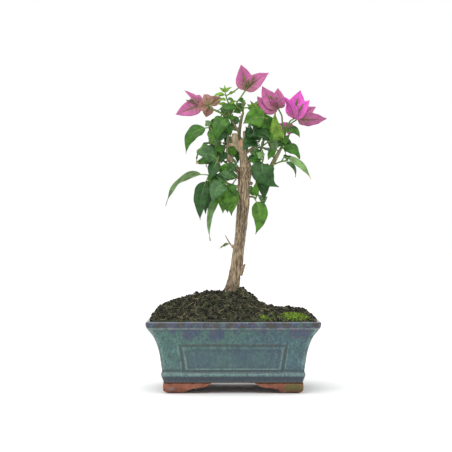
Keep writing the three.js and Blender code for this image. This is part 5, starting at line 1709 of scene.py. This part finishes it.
def add_leaf(bm, stalks, blade, draw):
    """One leaf: a bent, quilted sheet in bm and its stalk and midrib in stalks."""
    wave, phase, curl = 0.03 + 0.04 * draw(), 6.28 * draw(), 0.16 * (draw() - 0.5)
    veins = 5 + int(2 * draw())

    def place(across, along):
        part = across * 2 - 1
        along = PETIOLE + (1 - PETIOLE) * along
        sideways, facing = blade.frame_at(along)
        edge = np.abs(part)
        half = blade.wide / 2 * leaf_outline(along) * (1 + 0.03 * np.sin(along * 23 + phase))
        half = np.maximum(half, 0.3)
        lift = half * LEAF_FOLD * (edge - 0.4 * edge**3)
        lift += blade.wide * wave * edge**2 * np.sin(along * 17 + phase + 2.4 * (part > 0))
        lift += blade.wide * curl * part * along
        quilt = np.abs(np.sin((along * veins - edge * 0.55) * math.pi))
        quilt = quilt * np.sin(math.pi * np.minimum(edge * 1.1, 1))
        lift += 0.42 * quilt * np.minimum(blade.wide / 14, 1)
        return blade.midline(along) + sideways * (half * part)[:, None] + facing * lift[:, None]

    bend_grid(bm, *LEAF_GRID, place, "blade", closed=False)
    marks = np.linspace(0, MIDRIB_END, MIDRIB_ROWS)
    rib = blade.midline(marks) - blade.normal * (0.34 * (marks > PETIOLE))[:, None]
    thick = min(1, blade.wide / 12)
    add_tube(stalks, rib, [0.62 * thick, 0.55 * thick, 0.34 * thick, 0.14], 5, 10)


def add_bract(bm, blade, draw):
    """One papery bract, cupped along its length and crinkled at its edge."""
    wave, phase = 0.014 + 0.016 * draw(), 6.28 * draw()

    def place(across, along):
        part = across * 2 - 1
        sideways, facing = blade.frame_at(along)
        edge = np.abs(part)
        half = np.maximum(blade.wide / 2 * bract_outline(along), 0.25)
        lift = half * BRACT_FOLD * (edge - 0.3 * edge**2)
        lift += blade.wide * wave * edge**2 * np.sin(along * 21 + phase + 2 * (part > 0))
        vein = np.abs(np.sin((along * 6 - edge * 0.9) * math.pi))
        lift += 0.16 * vein * np.sin(math.pi * np.minimum(edge, 1))
        lift -= 0.25 * (1 - soft_step(edge, 0, 0.16))
        return blade.midline(along) + sideways * (half * part)[:, None] + facing * lift[:, None]

    bend_grid(bm, *BRACT_GRID, place, "blade", closed=False)


print("a leaf has", math.prod(LEAF_GRID), "faces and a bract", math.prod(BRACT_GRID))

# %% [markdown]
# Each tone of leaf is its own finish. The upper side is waxy, with a pale midrib and side veins
# that read from the blade's own map, and the under side is paler and dull.

# %% Leaf finishes
SIDE_VEINS, FULL_TURN, DRY_FROM = 6.4, 6.283, 0.9
UPPER_VEINS, UPPER_ROUGHNESS = 0.4, 0.45
UNDER_VEINS, UNDER_ROUGHNESS, UNDER_PALE = 0.3, 0.6, 0.55


def shaded(tone, share):
    """A colour made darker or lighter by a factor."""
    return tuple(min(1, part * share) for part in tone[:3]) + (1,)


def leaf_finish(name, tone, vein, share, roughness, dry_tip):
    """A green with mottling and with veins, and on some leaves a dry tip."""
    leaf = Finish(name, roughness, Specular_IOR_Level=0.26)
    across, along = leaf.along_blade()
    from_rib = leaf.distance(across * 2 - 1)
    cloud = leaf.noise(7, detail=3)
    pepper = leaf.noise(1.2, detail=3, roughness=0.7)
    light = shaded(tone, 1.5)
    green = leaf.mix(leaf.step(cloud, 0.34, 0.66), shaded(tone, 0.56), light)
    green = leaf.mix(0.3, green, tone)
    green = leaf.mix(leaf.step(pepper, 0.5, 0.75) * 0.25, green, light)
    side = leaf.sine((along * SIDE_VEINS - from_rib * 0.75) * FULL_TURN)
    ribs = leaf.step(side, 0.86, 1) * (1 - leaf.step(from_rib, 0.75, 1))
    middle = 1 - leaf.step(from_rib, 0.02, 0.09)
    green = leaf.mix(ribs * share * 0.45, green, vein)
    green = leaf.mix(middle * share * 0.65, green, vein)
    if dry_tip:
        tip = leaf.step(along + pepper * 0.1, DRY_FROM, DRY_FROM + 0.04)
        green = leaf.mix(tip, green, colour(196, 150, 100))
    leaf.set(Base_Color=green, Normal=leaf.bump(pepper + ribs * 0.6, 0.2, 0.4))
    return leaf


# The upper and vein colour of each tone; the deep and bright tones partly paint in the shade and light that
# fall on a leaf
TONES = {
    "b": (colour(64, 107, 27), colour(112, 146, 66)),
    "m": (colour(50, 94, 22), colour(90, 126, 54)),
    "d": (colour(37, 73, 30), colour(78, 108, 62)),
    "g": (colour(61, 96, 53), colour(104, 132, 86)),
    "p": (colour(100, 134, 80), colour(134, 160, 112)),
    "y": (colour(100, 134, 44), colour(140, 164, 78)),
    "x": (colour(104, 138, 78), colour(134, 160, 112)),
    "w": (colour(58, 104, 30), colour(124, 142, 70)),
}
NAMES = dict(b="bright", m="mid", d="deep", g="grey", p="pale", y="young", x="pale_dry_tip", w="dry_tip")
DRY_TIPS = "xw"
UNDER_TONE, UNDER_VEIN = colour(118, 146, 100), colour(170, 186, 140)
upper_finish, under_finish = {}, {}
for letter, (upper, vein) in TONES.items():
    name, dry = f"leaf_{NAMES[letter]}", letter in DRY_TIPS
    under = tuple((1 - UNDER_PALE) * part + UNDER_PALE * pale for part, pale in zip(upper, UNDER_TONE))
    upper_finish[letter] = leaf_finish(name, upper, vein, UPPER_VEINS, UPPER_ROUGHNESS, dry)
    under_finish[letter] = leaf_finish(
        f"{name}_under", under, UNDER_VEIN, UNDER_VEINS, UNDER_ROUGHNESS, dry
    )
print(len(upper_finish), "tones of leaf, each with an upper and an under side")
stalk = Finish("leaf_stalk", 0.5)
stalk_cloud = stalk.step(stalk.noise(5), 0.4, 0.6)
stalk.set(Base_Color=stalk.mix(stalk_cloud, colour(84, 124, 54), colour(116, 148, 74)))


def thicken(piece, thickness, finishes=1):
    """A sheet's own thickness, with the finish after its own on the side below."""
    solidify = piece.modifiers.new("thickness", "SOLIDIFY")
    solidify.thickness = thickness * MM
    solidify.offset = -1
    solidify.material_offset = finishes
    solidify.material_offset_rim = 0


# %% Leaves
LEAF_THICKNESS, BRACT_THICKNESS = 0.32, 0.2
# The tones of the leaves that the rule grows, in turn
GROWN_TONES = "mdmbmdmg"
# What is added to a mass's seed for its leaves and its bracts, and the seeds of the other leaves
LEAF_SEED, BRACT_SEED, FINE_SEED, SPUR_SEED = 500, 900, 77, 3
leaf_parts = {tone: bmesh.new() for tone in TONES}
stalk_bm = bmesh.new()
for mass in MASSES:
    part = crown[mass["name"]]
    draw = seeded_random(mass["seed"] + LEAF_SEED)
    for blade, tone in zip(part["leaves"], mass["tones"]):
        add_leaf(leaf_parts[tone], stalk_bm, blade, draw)
    for number, blade in enumerate(part["grown"]):
        tone = GROWN_TONES[number % len(GROWN_TONES)]
        add_leaf(leaf_parts[tone], stalk_bm, blade, draw)

draw = seeded_random(FINE_SEED)
for blade, tone in fine_leaves:
    add_leaf(leaf_parts[tone], stalk_bm, blade, draw)

NODES = [mass["name"] for mass in MASSES]
for tone, bm in leaf_parts.items():
    piece = make_piece(f"leaves_{NAMES[tone]}", bm, [upper_finish[tone], under_finish[tone]])
    thicken(piece, LEAF_THICKNESS)
make_piece("leaf_stalks", stalk_bm, [stalk], NODES)

# %% [markdown]
# The coloured parts of a bougainvillea are not petals but three papery bracts, each with a slim
# tube that is the true flower. Veins run dark and olive from the foot of a bract and fade towards
# its edge. The faded flower at the left has gone brown, and green at its foot.

# %% Bract finishes
def bract_finish(name, pink, foot, vein, vein_share):
    """Pink paper with a net of olive veins that fades outwards."""
    paper = Finish(name, 0.55, Specular_IOR_Level=0.3)
    across, along = paper.along_blade()
    from_rib = paper.distance(across * 2 - 1)
    cloud = paper.noise(5, detail=3)
    pepper = paper.noise(0.9, detail=3, roughness=0.75)
    tone = paper.mix(paper.step(cloud, 0.36, 0.64), pink, shaded(pink, 1.25))
    near = 1 - paper.step(along + from_rib * 0.35, 0.05, 0.75)
    tone = paper.mix(near * 0.7, tone, foot)
    side = paper.sine((along * 6 - from_rib * 1.1 + cloud * 0.5) * FULL_TURN)
    net = paper.sine((along * 19 + from_rib * 7 + cloud * 2) * FULL_TURN)
    fades = 1 - paper.step(along + from_rib * 0.45, 0.3, 0.95)
    ribs = paper.step(side, 0.72, 0.98) * fades
    mesh = paper.step(net, 0.6, 1) * fades
    middle = (1 - paper.step(from_rib, 0.03, 0.12)) * (1 - paper.step(along, 0.5, 0.95))
    tone = paper.mix(mesh * vein_share * 0.35, tone, vein)
    tone = paper.mix(ribs * vein_share * 0.7, tone, vein)
    tone = paper.mix(middle * vein_share, tone, vein)
    paper.set(Base_Color=tone, Normal=paper.bump(pepper * 0.5 + ribs, 0.18, 0.5))
    return paper


BRACT_TONES = {
    "pink": (colour(166, 86, 132), colour(132, 100, 82), colour(84, 80, 40), 0.95),
    "bright": (colour(196, 80, 170), colour(156, 96, 110), colour(94, 76, 54), 0.85),
    "faded": (colour(140, 94, 88), colour(94, 106, 42), colour(72, 86, 30), 1.0),
}
bract_finishes = {name: bract_finish(f"bract_{name}", *tones) for name, tones in BRACT_TONES.items()}
tube_skin = Finish("flower_tube", 0.6)
tube_cloud = tube_skin.step(tube_skin.noise(3), 0.4, 0.62)
tube_skin.set(Base_Color=tube_skin.mix(tube_cloud, colour(78, 78, 44), colour(112, 104, 58)))
print(len(bract_finishes), "tones of bract")

# %% Bracts and tubes
TUBE_RADII = [0.5, 0.75, 1.05, 0.85, 1.0, 0.5]
bract_parts = {name: bmesh.new() for name in BRACT_TONES}
tube_bm = bmesh.new()
for mass in MASSES:
    draw = seeded_random(mass["seed"] + BRACT_SEED)
    for flower in crown[mass["name"]]["flowers"]:
        for blade in flower["bracts"]:
            add_bract(bract_parts[flower["tone"]], blade, draw)
        for reach in flower["tubes"]:
            foot, tip = flower["foot"], flower["foot"] + np.array(reach)
            swell = foot + (tip - foot) * 0.55 + np.array([0.3, 0, 0.2])
            add_tube(tube_bm, [foot, swell, tip], TUBE_RADII, 8, 14)
for name, bm in bract_parts.items():
    piece = make_piece(f"bracts_{name}", bm, [bract_finishes[name]])
    thicken(piece, BRACT_THICKNESS, 0)
make_piece("flower_tubes", tube_bm, [tube_skin])

# %% [markdown]
# Twigs are green while young and brown at the foot. Each is one tapering tube on its curve. Low on
# the trunk a dry spur still holds one young leaf.

# %% Twigs
twig_skin = Finish("twig_green_brown", 0.65)
young = twig_skin.step(twig_skin.noise(14, detail=2), 0.36, 0.5)
twig_tone = twig_skin.mix(young, colour(100, 96, 56), colour(88, 122, 46))
twig_skin.set(Base_Color=twig_tone, Normal=twig_skin.bump(twig_skin.noise(1, (1, 1, 0.3)), 0.2, 0.5))
twig_bm = bmesh.new()
for twig in [twig for part in crown.values() for twig in part["twigs"]] + fine_twigs:
    points = [point[:3] for point in twig["path"]]
    add_tube(twig_bm, points, twig["r"], 8, 6 * len(points))
make_piece("twigs_green", twig_bm, [twig_skin])

# %% The dry spur on the trunk
spur_bm, spur_leaf_bm = bmesh.new(), bmesh.new()
add_tube(spur_bm, SPUR["path"], SPUR["r"], 8, 14)
shape = dict(SPUR["leaf"])
spur_blade = Blade(curve_at(SPUR["path"], shape.pop("at")), **shape)
add_leaf(spur_leaf_bm, spur_bm, spur_blade, seeded_random(SPUR_SEED))
dry = Finish("twig_dry", 0.8)
dry_patch = dry.step(dry.noise(2, (1, 1, 0.4)), 0.4, 0.62)
dry.set(Base_Color=dry.mix(dry_patch, colour(120, 98, 74), colour(168, 146, 116)))
make_piece("spur_twig", spur_bm, [dry], ["spur_dry_twig"])
spur_leaf = make_piece("spur_leaf", spur_leaf_bm, [upper_finish["y"], under_finish["y"]])
thicken(spur_leaf, LEAF_THICKNESS)
